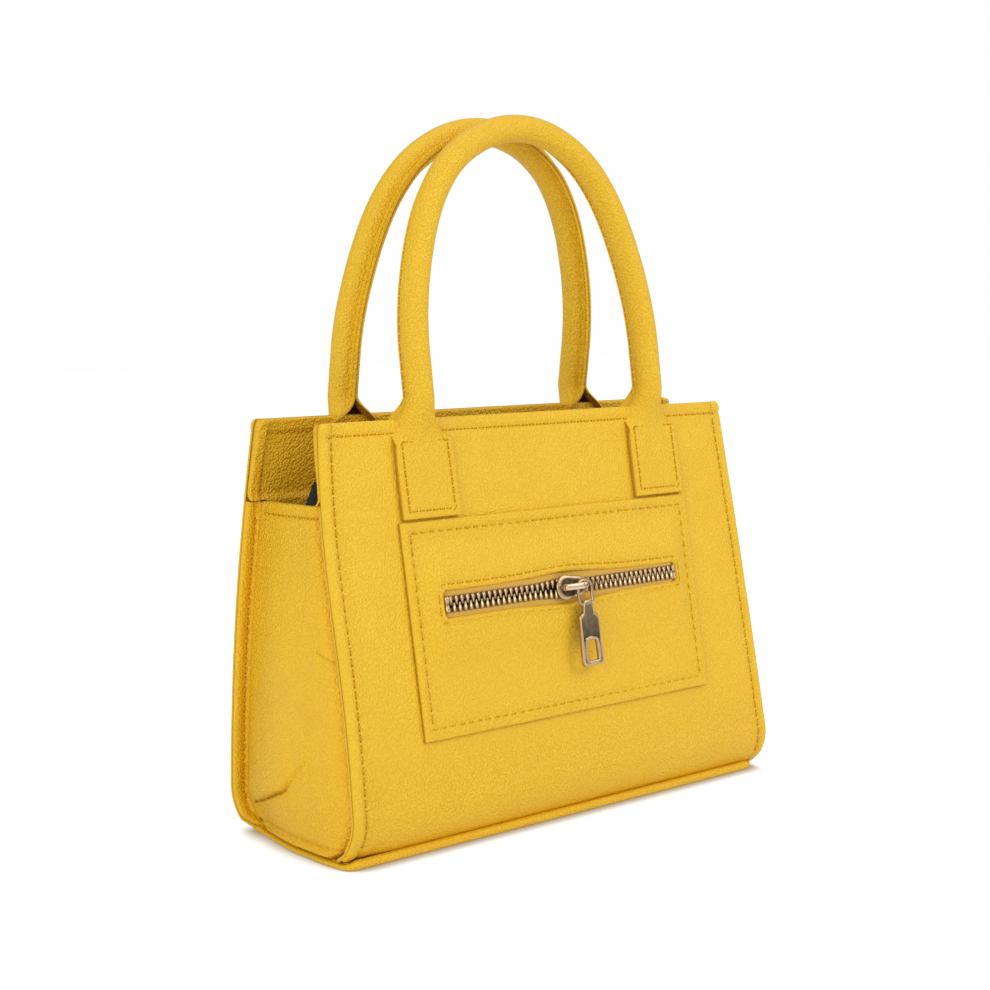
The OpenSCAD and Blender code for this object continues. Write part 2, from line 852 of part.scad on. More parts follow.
module snap_stud() {
    color(antique_metal)
        to_back()
            on_front()
                translate([0, -snap_drop, snap_z - snap_rim]) {
                    cylinder(h = snap_rim, d = snap_d, $fn = wire_fn);
                    translate([0, 0, snap_rim - snap_t])
                        cylinder(h = snap_t - snap_rim, d = snap_pin_d, $fn = wire_fn);
                }
}

panel();  // front_panel
to_back() panel();  // back_panel
to_left() gusset();  // gusset_left
gusset();  // gusset_right
base_panel();
base_board();
base_piping();
board();  // front_board
to_back() board();  // back_board
facing();  // front_facing
to_back() facing();  // back_facing
lining();  // front_lining
to_back() lining();  // back_lining
to_left() side_lining();  // left_lining
side_lining();  // right_lining
base_lining();
pocket_patch();
zip_tape_upper();
zip_tape_lower();
zip_teeth_upper();
zip_teeth_lower();
zip_top_stops();
zip_bottom_stop();
slider_body();
slider_bridge();
pull_link();
pull_tab();
to_left() tab();  // front_left_tab
tab();  // front_right_tab
to_back() to_left() tab();  // back_left_tab
to_back() tab();  // back_right_tab
handle_cover();  // front_handle_cover
to_back() handle_cover();  // back_handle_cover
handle_core();  // front_handle_core
to_back() handle_core();  // back_handle_core
snap_socket();
snap_stud();
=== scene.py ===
"""Looks of a small top handle bag: leather sheets, seams, zip, handles, light and camera.

Shapes are worked out in millimetres from the same sizes as the CAD part and stored in metres.
"""
import math

import bpy
import numpy as np
from mathutils import Matrix, Vector


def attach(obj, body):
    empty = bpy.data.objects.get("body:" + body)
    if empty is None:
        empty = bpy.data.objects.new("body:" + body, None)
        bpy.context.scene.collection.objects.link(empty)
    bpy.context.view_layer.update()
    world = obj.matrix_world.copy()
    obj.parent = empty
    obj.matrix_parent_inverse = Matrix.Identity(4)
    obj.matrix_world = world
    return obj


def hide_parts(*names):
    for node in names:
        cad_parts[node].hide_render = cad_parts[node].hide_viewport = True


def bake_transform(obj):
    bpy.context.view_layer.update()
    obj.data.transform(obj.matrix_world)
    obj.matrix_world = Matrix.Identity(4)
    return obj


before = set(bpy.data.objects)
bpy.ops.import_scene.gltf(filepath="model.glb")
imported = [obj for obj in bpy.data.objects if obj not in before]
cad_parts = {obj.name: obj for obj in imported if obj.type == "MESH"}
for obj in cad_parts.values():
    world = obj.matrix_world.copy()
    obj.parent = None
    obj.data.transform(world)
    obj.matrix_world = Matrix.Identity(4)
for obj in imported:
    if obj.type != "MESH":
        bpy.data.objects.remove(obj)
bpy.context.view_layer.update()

MM = 0.001
sin, cos, pi = np.sin, np.cos, np.pi

# Sizes of the body
PANEL_H = 143.0
PANEL_END = 146.0
PANEL_T = 1.4
RIM_W = 198.0
BASE_W = 208.0
MOUTH_D = 32.0
LEAN = math.radians(9.1)
CURL_R = 16.0
CURL_TURN = math.radians(45)
PIPING_D = 3.6
GUSSET_DROP = 27.0
GUSSET_END = 148.6
GUSSET_T = 1.4
GUSSET_TURN_R = 1.2
FACING_T = 1.2
BOARD_T = 1.0
BOARD_INSET = 10.3
LINING_T = 0.5
GAP = 0.02  # between a sheet and the one that it lies on
SEAM_IN = 4.6
SEAM_PITCH = 3.5
BACK_RISE = 0.9
BACK_FLARE = 3.5
BACK_DRAW = 8.3
SIDE_BULGE = 4.6
STRAIGHT = PANEL_H - CURL_R * (LEAN + CURL_TURN)
CURL_Z = PIPING_D + CURL_R * math.sin(CURL_TURN)
CURL_O = MOUTH_D / 2 - CURL_R * math.cos(LEAN) + STRAIGHT * math.sin(LEAN)
RIM_Z = CURL_Z + CURL_R * math.sin(LEAN) + STRAIGHT * math.cos(LEAN)
BASE_X = BASE_W / 2 - PIPING_D / 2
BASE_Y = CURL_O + CURL_R * math.cos(CURL_TURN)

# Sizes of the stitches
THREAD_D = 0.58
THREAD_FILL = 0.52
THREAD_RISE = 0.08

# Sizes of the handles
SPAN = 114.0
RISE = 106.0
HANDLE_LEAN = math.radians(6.9)
CROWN_R = 46.0
SHOULDER_R = 101.0
HINGE_DROP = 5.4
TAB_W = 25.6
TAB_DROP = 34.0
TAB_L = TAB_DROP - HINGE_DROP
TAB_SEAM_IN = 2.6
STRAP_T = 2.2
TUBE_T = 1.4
TUBE_R = 4.9
TUBE_FORWARD = 2.9
FIN_H = 2.4
FIN_TURN_R = 0.9
ROPE_R = 3.2
ROLL_FROM = -5.0
ROLL_TO = 13.5
FIN_SEAM_FROM = 9.0
ROPE_FROM = 16.0
TAB_SHIFT = 0.2
BACK_SHIFT = -4.4

# Sizes of the pocket and its zip
PATCH_W = 142.4
PATCH_H = 73.2
PATCH_T = 1.4
PATCH_TOP = TAB_DROP + 0.8
PATCH_END = PATCH_TOP + PATCH_H
PATCH_SEAM_IN = 3.8
PATCH_PITCH = 4.0
POCKET_LIFT = 2.3
ZIP_DOWN = PATCH_TOP + 28.8
CHAIN_OUT = 3.15
WINDOW_W = 115.4
WINDOW_R = 0.8
WINDOW_SEAM_X = 60.0
TAPE_HALF = 58.6
TOOTH_PITCH = 2.55
TOOTH_N = 44
LINK_X = 5.5
LINK_TOP = 1.85
LINK_LOW = -6.75
LINK_Z = 3.95
LINK_HALF = 3.6
WIRE_R = 0.62


def smooth(x, a, b):
    """0 before a, 1 after b and a smooth cubic between them."""
    t = np.clip((np.asarray(x, float) - a) / (b - a), 0, 1)
    return t * t * (3 - 2 * t)


def bell(x, middle, width):
    """Gaussian bump of height 1."""
    return np.exp(-((np.asarray(x, float) - middle) / width) ** 2)


def ripple(a, b, seed, size):
    """Sum of six plane waves of about one size, within -1 to 1."""
    rng = np.random.default_rng(seed)
    total = 0
    for _ in range(6):
        turn, phase, k = rng.uniform(0, 2 * pi), rng.uniform(0, 2 * pi), rng.uniform(0.7, 1.4)
        total = total + sin(2 * pi * k / size * (a * cos(turn) + b * sin(turn)) + phase)
    return total / 6


def rounded(e, r):
    """Drop of a surface at a distance e from an edge that is rounded with radius r."""
    t = np.clip(1 - e / r, 0, 1)
    return r * (1 - np.sqrt(np.maximum(0, 1 - t * t)))


def squared(wave, power):
    """A sine or cosine pushed outwards, which makes a circle squarer."""
    return np.sign(wave) * np.abs(wave) ** power


def circle(n):
    """Angles of n places round a circle."""
    return np.linspace(0, 2 * pi, n, endpoint=False)


def unit(vectors):
    """Vectors of length 1."""
    return vectors / np.linalg.norm(vectors, axis=-1, keepdims=True)


def spaced(start, end, step, dense_start=True, dense_end=True):
    """Places from start to end, close together where a rounded edge needs them."""
    close = np.array([0, 0.1, 0.25, 0.5, 0.85, 1.3, 1.9, 2.6, 3.2, 3.6, 4.0, 4.4, 4.8, 5.2, 5.8, 6.6, 7.6])
    a = start + close if dense_start else np.array([start])
    b = end - close[::-1] if dense_end else np.array([end])
    n = max(2, int(round((b[0] - a[-1]) / step)))
    return np.concatenate([a, np.linspace(a[-1], b[0], n + 1)[1:-1], b])


def polyline(values, counts):
    """Places from value to value, a count of them in each leg."""
    return np.concatenate([np.linspace(a, b, n) for a, b, n in zip(values, values[1:], counts)])


# Meshes
def new_object(name, points, faces, detail=None, groove=None):
    """A smooth object from points in millimetres. detail is how strong the grain or the polish is at
    each point, and the last list is how much painted shade darkens the colour there, at seams, turns and cut
    edges."""
    mesh = bpy.data.meshes.new(name)
    mesh.from_pydata((points.reshape(-1, 3) * MM).tolist(), [], faces)
    mesh.validate()
    for word, values in (("detail", detail), ("groove", groove)):
        if values is not None:
            mesh.attributes.new(word, "FLOAT", "POINT").data.foreach_set(
                "value", np.asarray(values, np.float32).ravel())
    mesh.update()
    mesh.shade_smooth()
    mesh.set_sharp_from_angle(angle=math.radians(48))
    obj = bpy.data.objects.new(name, mesh)
    bpy.context.scene.collection.objects.link(obj)
    return obj


def outward(points, faces):
    """The faces, turned round as a whole if the skin encloses a negative volume."""
    p = points.reshape(-1, 3)
    total = 0.0
    for corners in (faces[:, [0, 1, 2]], faces[:, [0, 2, 3]]):
        a, b, c = p[corners[:, 0]], p[corners[:, 1]], p[corners[:, 2]]
        total += np.einsum("ij,ij->i", a, np.cross(b, c)).sum()
    return faces if total > 0 else faces[:, ::-1]


def shell(name, outer, inner, keep=None, detail=None, groove=0.0):
    """Closed skin over two n x m grids of points, with walls along every edge of the kept cells."""
    n, m = outer.shape[:2]
    at = np.arange(n * m).reshape(n, m)
    cells = np.stack([at[:-1, :-1], at[1:, :-1], at[1:, 1:], at[:-1, 1:]], -1)
    cells = cells.reshape(-1, 4) if keep is None else cells[keep]
    p = np.concatenate([cells[:, k] for k in range(4)])
    q = np.concatenate([cells[:, (k + 1) % 4] for k in range(4)])
    rim = ~np.isin(p * n * m + q, q * n * m + p)
    p, q = p[rim], q[rim]
    faces = np.concatenate([cells, cells[:, ::-1] + n * m, np.stack([q, p, p + n * m, q + n * m], -1)])
    points = np.concatenate([outer.reshape(-1, 3), inner.reshape(-1, 3)])
    used = np.unique(faces)
    renumber = np.zeros(len(points), int)
    renumber[used] = np.arange(len(used))
    faces = outward(points[used], renumber[faces])
    if detail is not None:
        detail = np.concatenate([detail.ravel(), np.zeros(n * m)])[used]
    # The inner grid takes full darkness, so each wall darkens towards its inner edge: painted shade at the
    # foot of every cut edge.
    groove = np.concatenate([(groove + np.zeros((n, m))).ravel(), np.ones(n * m)])[used]
    return new_object(name, points[used], faces.tolist(), detail, groove)


def capped(bars):
    """Faces of closed bars over points (bar, ring, point, xyz): their sides, then both ends."""
    at = np.arange(bars.size // 3).reshape(bars.shape[:3])
    after = np.roll(at, -1, axis=2)
    sides = np.stack([at[:, :-1], after[:, :-1], after[:, 1:], at[:, 1:]], -1).reshape(-1, 4)
    turned = outward(bars, sides)
    way = 1 if turned is sides else -1
    return turned.tolist() + at[:, 0, ::-way].tolist() + at[:, -1, ::way].tolist()


def tube(name, rings, detail=None, closed=False, groove=None):
    """Closed skin over rings of points, capped at the first and last ring or joined up."""
    if not closed:
        return new_object(name, rings, capped(rings[None]), detail, groove)
    at = np.arange(rings.size // 3).reshape(rings.shape[:2])
    after = np.roll(at, -1, axis=1)
    sides = np.stack([at, after, np.roll(after, -1, axis=0), np.roll(at, -1, axis=0)], -1)
    return new_object(name, rings, outward(rings, sides.reshape(-1, 4)).tolist(), detail, groove)


# Panels. s and d run down a panel's leather from its rim, e is a distance from an edge.
def profile(s):
    """Outside line of a panel s below its rim: (out, up, turn of the outward normal)."""
    s = np.asarray(s, float)
    turn = LEAN - np.maximum(0, s - STRAIGHT) / CURL_R
    on_curl = s > STRAIGHT
    out = np.where(on_curl, CURL_O + CURL_R * cos(turn), MOUTH_D / 2 + s * math.sin(LEAN))
    up = np.where(on_curl, CURL_Z + CURL_R * sin(turn), RIM_Z - s * math.cos(LEAN))
    return out, up, turn


def edge(s, side=-1):
    """Half a panel's width s below the rim, widening downwards. The back panel's fins stand out
    at the top and draw in at the bottom."""
    s = np.asarray(s, float)
    is_back = np.asarray(side) > 0
    above = np.maximum(0, PANEL_H - s)
    beyond = np.maximum(0, s - PANEL_H + 2)
    straight = (BASE_W + (RIM_W - BASE_W) * profile(s)[1] / RIM_Z) / 2
    back = BACK_FLARE - BACK_DRAW * (np.maximum(0, s) / PANEL_H) ** 2 - 0.1 * beyond ** 2
    corner = 0.7 * np.exp(-above / 0.8) + np.where(is_back, 0.3, 1.2) * np.exp(-s / 0.9)
    return straight + 0.8 * sin(pi * above / PANEL_H) + np.where(is_back, back, 0) - corner


def rim_start(side):
    """Where a panel starts: the back one stands a little higher than the front one."""
    return -BACK_RISE if side > 0 else 0.0


def bow(x, s, side):
    """How far the front panel's left edge bows out of its plane."""
    near = smooth(-np.asarray(x), 80, 99) * (np.asarray(side) < 0)
    return near * (-1.5 * sin(2 * pi * s / 132)) * smooth(s, 0, 12)


def wall_point(side, x, s, depth):
    """Point on the front (side -1) or back (+1) panel, a depth in from its outside."""
    out, up, turn = profile(s)
    lift = bow(x, s, side) - depth
    return np.stack([x + 0 * out, side * (out + lift * cos(turn)), up + lift * sin(turn)], -1)


def wall_line(side, x, s, depth=0.0):
    """Points and outward normals along a line on a panel."""
    x, s = np.broadcast_arrays(np.asarray(x, float), np.asarray(s, float))
    turn = profile(s)[2]
    return wall_point(side, x, s, depth), np.stack([0 * x, side * cos(turn), sin(turn)], -1)


def wall_shell(name, side, x, s, outer, inner, **more):
    """Closed sheet along a panel, between two depths."""
    return shell(name, wall_point(side, x, s, outer), wall_point(side, x, s, inner), **more)


def panel_columns(side, s):
    """Grid of x over a panel: columns keep their distance from the side edges."""
    e = spaced(0, 14, 2, dense_end=False)
    inside = np.linspace(0, 1, 69)[1:]
    half = edge(s, side)[:, None]
    right = np.concatenate([half - e[None, :], (half - e[-1]) * (1 - inside[None, :])], axis=1)
    return np.concatenate([-right, right[:, -2::-1]], axis=1)


def seam_relief(e, along):
    """Pillow outside a stitch line, a furrow along it and the puckers that the stitches pull."""
    phase = cos(2 * pi * along / SEAM_PITCH)
    return (0.32 * bell(e, 2.2, 1.5) - 0.34 * bell(e, SEAM_IN, 0.75) * (1 - 0.25 * phase)
            + 0.10 * bell(e, SEAM_IN + 2.2, 1.3) * (1 + 0.6 * phase) - rounded(e, 0.5))


def panel(side, name):
    """A leather panel with rolled edges, seams and a slightly uneven face."""
    s = spaced(rim_start(side), PANEL_END, 1.15)
    x = panel_columns(side, s)
    ss = s[:, None] + 0 * x
    below = ss - rim_start(side)
    e_side = edge(s, side)[:, None] - np.abs(x)
    relief, top = seam_relief(e_side, ss), seam_relief(below, x)
    relief = np.where(np.abs(top) > np.abs(relief), top, relief)
    relief = relief + 0.10 * ripple(x, ss, 11 + side, 46) + 0.05 * ripple(x, ss, 21 + side, 17)
    corner = 0.5 * bell(e_side, 1.8, 1.6) * bell(below, 1.8, 1.8)
    relief = relief - rounded(PANEL_END - ss, 0.7) + corner
    low = smooth(ss, 105, 125) * smooth(-ss, -143, -125)
    detail = 0.3 + 0.7 * bell(e_side, SEAM_IN, 3) + 0.6 * low + 0.15 * ripple(x, ss, 31, 25)
    detail = detail * (0.3 + 0.7 * smooth(e_side, 2, 4))
    return wall_shell(name, side, x, ss, -relief, PANEL_T - GAP, detail=detail)


def wall_sheet(side, name, d0, d1, s0, s1, inset, round_r=0.3, detail=0.2, hem=0.0, lap_t=0.0):
    """A plain sheet inside a panel, between two depths and drawn in by an inset. A hem thickens
    it along its sides; with a lap its lower strip steps inwards, over what lies below."""
    s = spaced(s0, s1, 2.5)
    half = (edge(s, side) - inset)[:, None]
    from_edge = spaced(0, 9, 2, dense_end=False) / 90
    x = half * np.concatenate([-1 + from_edge, np.linspace(-0.9, 0.9, 73)[1:-1], 1 - from_edge[::-1]])
    ss = s[:, None] + 0 * x
    e_side = half - np.abs(x)
    drop = rounded(np.minimum(e_side, np.minimum(ss - s0, s1 - ss)), round_r)
    if hem:
        inside = smooth(e_side, 3.4, 4.6)
        grow = hem * (0.6 + 1.3 * (1 - smooth(ss, 2, 24)))
        drop = (drop - grow * (1 - inside) - 0.5 * hem * (1 - smooth(ss - s0, 3.4, 4.6)) * inside
                + 0.3 * bell(e_side, SEAM_IN, 0.6) + 0.08 * ripple(x, ss, 71, 9))
    lap = lap_t * smooth(ss, s1 - 6.5, s1 - 4.5)
    keep = None
    if lap_t:
        mid = (ss[1:, 1:] + ss[:-1, :-1]) / 2
        keep = (mid < s1 - 4.7) | (np.abs(x[1:, 1:] + x[:-1, :-1]) / 2 < half[:-1] - 6.5)
    return wall_shell(name, side, x, ss, d1 - drop + lap, d0 + lap, keep=keep, detail=detail + 0 * x)


# Stitches
def stitch_row(name, points, normals, pitch):
    """Thread capsules along a line on a surface, one every pitch, each between two needle holes,
    which are eight-sided lenses coloured with the painted shade inside the holes."""
    run = np.concatenate([[0], np.cumsum(np.linalg.norm(np.diff(points, axis=0), axis=1))])
    n = max(1, int(round(run[-1] / pitch)))
    at = (np.arange(n) + 0.5) * run[-1] / n

    def along(values, places):
        return np.stack([np.interp(places, run, values[:, k]) for k in range(3)], -1)

    middle = along(points, at)
    ahead = unit(along(points, at + 0.4) - along(points, at - 0.4))
    up = unit(along(normals, at))
    across = np.cross(up, ahead)

    def placed(middles, x, y, z):
        return (middles[:, None] + x[:, None] * ahead[:, None] + y[:, None] * across[:, None]
                + z[:, None] * up[:, None])

    half = run[-1] / n * THREAD_FILL / 2
    t = np.array([-1, -0.86, -0.4, 0.4, 0.86, 1])
    radius = THREAD_D / 2 * np.array([0.3, 0.8, 1, 1, 0.8, 0.3])[:, None]
    a = np.arange(6) * pi / 3
    lift = THREAD_RISE - 0.32 * np.abs(t) ** 3
    threads = placed(middle, np.repeat(half * t, 6), (radius * cos(a)).ravel(),
                     (lift[:, None] + radius * sin(a)).ravel()).reshape(n, 6, 6, 3)
    b = np.append(np.arange(8) * pi / 4, [0, 0])
    wide = THREAD_D / 2 * np.append(np.ones(8), [0, 0])
    deep = np.append(np.zeros(8), [0.13, -0.3])
    holes = np.concatenate([placed(middle + sign * (half + 0.15) * ahead, wide * cos(b), wide * sin(b), deep)
                            for sign in (1, -1)])
    j, k = np.arange(8), np.roll(np.arange(8), -1)
    lens = np.stack([np.stack([j, k, 0 * j + 8], -1), np.stack([k, j, 0 * j + 9], -1)], 1).reshape(-1, 3)
    first = threads.size // 3 + 10 * np.arange(2 * n)
    thread_faces = capped(threads)
    hole_faces = (first[:, None, None] + lens).reshape(-1, 3).tolist()
    obj = new_object(name, np.concatenate([threads.reshape(-1, 3), holes.reshape(-1, 3)]),
                     thread_faces + hole_faces)
    index = np.repeat(np.array([0, 1], np.int32), [len(thread_faces), len(hole_faces)])
    obj.data.polygons.foreach_set("material_index", index)
    return obj


def panel_seam(side, low, count, depth):
    """Points and outward normals up one side of a panel, along its rim and down the other side."""
    first = SEAM_IN + rim_start(side)
    s = np.linspace(first, low, count)
    end = edge(first, side) - SEAM_IN
    left, right = (wall_line(side, sign * (edge(s, side) - SEAM_IN), s, depth) for sign in (-1, 1))
    top = wall_line(side, np.linspace(-end, end, 60), first, depth)
    return tuple(np.concatenate([a[::-1], b, c]) for a, b, c in zip(left, top, right))


# Gussets
CREASE = np.array([[22.1, 13.1], [15, 15.5], [2.3, 20.7], [0.7, 22.6], [-3.5, 27.1], [-10.8, 33.6]])
NICK = np.array([[-15.5, 69.3], [-23.5, 66.6]])


def to_line(line, y, z):
    """Signed distance to a line of points on the side, positive above it."""
    best = np.full(np.shape(y), 1e9)
    sign = np.ones(np.shape(y))
    for (ya, za), (yb, zb) in zip(line[:-1], line[1:]):
        dy, dz = yb - ya, zb - za
        t = np.clip(((y - ya) * dy + (z - za) * dz) / (dy * dy + dz * dz), 0, 1)
        ey, ez = y - ya - t * dy, z - za - t * dz
        d = np.hypot(ey, ez)
        nearer = d < best
        best = np.where(nearer, d, best)
        sign = np.where(nearer, np.sign(dz * ey - dy * ez), sign)
    return best * sign


def foot_taper(y):
    """How much narrower the foot of the bag is towards its back."""
    return 1.6 * smooth(y, -22, -5) + 7.6 * smooth(y, -8, 34)


def side_relief(t, y, z, x0, mirror):
    """How far a side stands out of the line x0 between its turns, and its painted shade: dark lines
    in the turns, along the crease and the nick and at the foot. It bulges, is tucked under at its foot
    and has a crease and a nick on the left."""
    a = np.abs(t)
    k = np.clip(a, 0, 1)
    bulge = SIDE_BULGE * (1 - k ** np.where(t < 0, 1.7, 12))
    # Painted shade in the turns beside the fins, stronger at the front.
    dark = 0.9 * bell(a, 1.3, 0.35) * np.where(t > 0, 1, 0.6)
    if mirror < 0:
        d = to_line(CREASE, y, z)
        deep = smooth(z, 7, 12) * smooth(-z, -40, -30) * (0.3 + 0.7 * smooth(y, -3, 4))
        dent = np.where(d > 0, 1.9 * np.exp(-d / 6) * (1 - np.exp(-d / 0.4)), -0.6 * np.exp(d / 5))
        nick = np.abs(to_line(NICK, y, z))
        bulge = bulge + deep * (dent - 1.3 * np.exp(-np.abs(d) / 0.5)) - 0.5 * bell(nick, 0, 0.4)
        # Painted shade along the crease's fold and in the nick.
        lines = np.maximum(bell(d, -0.1, 0.55) * deep, 0.9 * bell(nick, 0, 0.35))
        dark = np.maximum(dark, lines * (a < 1))
    flat = 1 - k ** 10
    low = (1 - smooth(z, 2, 20)) * flat
    foot = BASE_X + 1.4 - foot_taper(y)
    roll = (0.9 * bell(z, 3.2, 1.1) - 0.6 * bell(z, 5.4, 0.6)) * flat
    bulge = bulge * (1 - low) + (foot - x0) * low + roll
    bulge = bulge + (0.22 * ripple(y, z, 5, 24) + 0.1 * ripple(y, z, 6, 9)) * (1 - k ** 3)
    bulge = bulge - 1.6 * np.exp(-np.maximum(0, z - 1.6) / 0.35) * flat
    # Painted shade where the foot meets the base strip.
    dark = np.maximum(dark, np.exp(-np.maximum(0, z - 1.8) / 0.4) * (a < 1))
    # Painted shade in the soft line above the rolled foot.
    return bulge, np.maximum(dark, 0.6 * bell(z, 5.3, 0.4) * flat)


def gusset_grid(s, t, offset, mirror):
    """Points of a gusset and the painted shade along its lines. t runs from -3 at the back panel's edge to
    3 at the front panel's: a fin from 3 to 2, a tight turn from 2 to 1 and a bulge between 1 and
    -1. offset is the depth into the leather."""
    s, t = np.broadcast_arrays(s, t)
    a = np.abs(t)
    side = np.where(t < 0, 1.0, -1.0)
    depth = PANEL_T + GUSSET_T
    r = GUSSET_TURN_R
    out, up, turn = profile(s)
    half = edge(s, side)
    to_back = np.clip(-t, 0, 1) ** 4
    x0 = edge(s, -1) * (1 - to_back) + edge(s, 1) * to_back - SEAM_IN - 0.3
    y0 = out - depth * cos(turn) + bow(mirror * half, s, side) * cos(turn)
    z = up - (depth - offset) * sin(turn)
    fin_x = x0 + r + (half - x0 - r) * (a - 2)
    fin_y = y0 + offset * cos(turn)
    angle = pi / 2 * (2 - a)
    turn_x = x0 + r - (r + offset) * sin(angle)
    turn_y = y0 - r + (r + offset) * cos(angle)
    across_y = (y0 - r) * np.clip(a, 0, 1)
    bulge, dark = side_relief(t, side * across_y, z, x0, mirror)
    x = np.where(a > 2, fin_x, np.where(a > 1, turn_x, x0 + bulge - offset))
    y = side * np.where(a > 2, fin_y, np.where(a > 1, turn_y, across_y))
    return np.stack([mirror * x, y, z], -1), dark


def gusset(mirror, name):
    """A bulged side with its two fins, lower than the rim."""
    s = spaced(GUSSET_DROP, GUSSET_END, 0.62)[:, None]
    half = np.concatenate([np.linspace(0, 0.9, 52), [0.93, 0.96, 0.98, 1, 1.2, 1.4, 1.6, 1.8, 2,
                                                     2.2, 2.4, 2.6, 2.75, 2.87, 2.95, 3]])
    t = np.concatenate([-half[::-1], half[1:]])[None, :]
    a = np.abs(t)
    outer, dark = gusset_grid(s, t, 0.0, mirror)
    inner = gusset_grid(s, t, GUSSET_T, mirror)[0]
    y, z = outer[..., 1], outer[..., 2]
    wrinkle = 0.9 * smooth(y, 4, 18) + 0.6 * smooth(z, 75, 110) + 0.3 * smooth(-z, -30, -12) + 0.15
    wrinkle = np.where(a > 1.1, 0.1, wrinkle)
    drop = rounded(s - GUSSET_DROP, 0.6) + 0.2 * bell(s, GUSSET_DROP + 4, 0.8)
    outer[..., 0] -= mirror * drop * (a < 1.5)
    fin = rounded((3 - a) * 3.5, 0.8) + 0.35 * bell(a, 2.03, 0.1) - 0.35 * bell(a, 2.5, 0.25)
    outer[..., 1] -= np.sign(t) * fin * (a > 2)
    # The side's darkness goes to the mesh as painted shade.
    return shell(name, outer, inner, detail=wrinkle, groove=dark)


def gusset_line(mirror, s, t):
    """Points and normals along a line on a gusset's outside."""
    s, t = np.broadcast_arrays(np.asarray(s, float), np.asarray(t, float))
    fin = np.abs(t) > 2
    normal = np.stack([np.where(fin, 0, mirror), np.where(fin, np.sign(t), 0), 0 * s], -1)
    return gusset_grid(s, t, -0.1, mirror)[0], normal


def side_lining(mirror, name):
    """Lining behind a gusset; on the left a corner of it stands up beside the front facing."""
    t = np.linspace(-0.97, 0.97, 60)[None, :]
    top = GUSSET_DROP + 0.9 - (9 if mirror < 0 else 0) * np.maximum(0, 1 - np.abs(t - 0.82) / 0.36)
    s = top + np.linspace(0, 1, 90)[:, None] * (PANEL_H - 2.2 - top)
    return shell(name, *(gusset_grid(s, t, GUSSET_T + depth, mirror)[0] for depth in (0.05, LINING_T)))


# Handles
def handle_path():
    """Places along a handle from its left tab's lower edge over the arch to its right tab's:
    (across, up from the hinge, turn of the path)."""
    shoulder_x = SPAN / 2 - SHOULDER_R
    crown_y = RISE - CROWN_R
    shoulder_y = crown_y - math.sqrt((SHOULDER_R - CROWN_R) ** 2 - shoulder_x ** 2)
    bend = math.atan2(crown_y - shoulder_y, -shoulder_x)
    tab = np.linspace(-TAB_L, 0, 40)[:-1]
    tab = np.concatenate([tab[0] + np.array([0, 0.12, 0.3, 0.6]), tab[2:]])
    straight = np.concatenate([tab, np.linspace(0, shoulder_y, 44)[:-1]])
    a1 = np.linspace(0, bend, 40)[:-1]
    a2 = np.linspace(bend, pi / 2, 48)
    x = np.concatenate([0 * straight + SPAN / 2, shoulder_x + SHOULDER_R * cos(a1), CROWN_R * cos(a2)])
    y = np.concatenate([straight, shoulder_y + SHOULDER_R * sin(a1), crown_y + CROWN_R * sin(a2)])
    turn = np.concatenate([0 * straight, a1, a2])
    return (np.concatenate([-x, x[-2::-1]]), np.concatenate([y, y[-2::-1]]),
            np.concatenate([turn, pi - turn[-2::-1]]))


def strap_section(rolled, width, q, deep):
    """Section of a strap that curls up into a tube with a two-layer fin. q is -1 to 1 across the
    strap; rolled 0 is flat and 1 is closed. Returns (across, out) for the leather's middle line
    moved outwards by deep."""
    radius = TUBE_R - TUBE_T / 2
    arc = pi * radius - TUBE_T * 0.55
    length = arc + FIN_TURN_R * pi / 2 + FIN_H
    n = 400
    run = length * np.linspace(0, 1, n)
    bend = np.where(run < arc, 1 / radius, np.where(run < arc + FIN_TURN_R * pi / 2, -1 / FIN_TURN_R, 0))
    rolled, width = rolled[:, None], width[:, None]
    angle = rolled * np.cumsum(bend) * length / n
    step = length / n * (width / 2 / length * (1 - rolled) + rolled)
    k = np.abs(q) * (n - 1)
    low = np.clip(k.astype(int), 0, n - 2)
    share = k - low
    across, out, angle = (table[:, low] * (1 - share) + table[:, low + 1] * share for table in (
        np.cumsum(cos(angle) * step, axis=1), -np.cumsum(sin(angle) * step, axis=1), angle))
    return (across + deep * sin(angle)) * np.sign(q), out + deep * cos(angle)


def handle_frame(side, x, y, across, out, turn):
    """Places a section across the handle's path into the bag's frame."""
    up = np.maximum(0, y) / RISE
    if side < 0:
        lean_x = -1.7 + 2.4 * up ** 6 + (TAB_SHIFT + 1.7) * (1 - smooth(y, -6, 14))
    else:
        lean_x = BACK_SHIFT + 0.9 * np.minimum(1, up * 2) + 0.5 * up ** 6
    lean_x = lean_x + np.clip(x / 30, -1, 1) * 1.7 * bell(y, 84, 19)
    px = x + across * cos(turn) + lean_x
    py = y - across * sin(turn)
    swing = LEAN - HANDLE_LEAN
    above = smooth(py, -3, 3)
    down = HINGE_DROP - (py * (1 - above + above * math.cos(swing)) - out * above * math.sin(swing))
    off = out * (1 - above + above * math.cos(swing)) + py * above * math.sin(swing) + STRAP_T / 2
    yy = MOUTH_D / 2 + down * math.sin(LEAN) + off * math.cos(LEAN)
    return np.stack([px, side * yy, RIM_Z - down * math.cos(LEAN) + off * math.sin(LEAN)], -1)


def strap_shape(y):
    """A strap at a height over its hinge: how far it is rolled up, and its leather's thickness."""
    rolled = smooth(y, ROLL_FROM, ROLL_TO)
    return rolled, STRAP_T * (1 - rolled) + TUBE_T * rolled


def strap_points(side, q, deep):
    """Points along a strap at shares q across it, a distance deep outside its middle line."""
    x, y, turn = handle_path()
    rolled, _ = strap_shape(y)
    across, out = strap_section(rolled, TAB_W - 1.5 * bell(y, 2, 8), q, deep)
    forward = (TUBE_FORWARD + TUBE_R - TUBE_T / 2) * rolled
    return handle_frame(side, x[:, None], y[:, None], across, out + forward[:, None], turn[:, None])


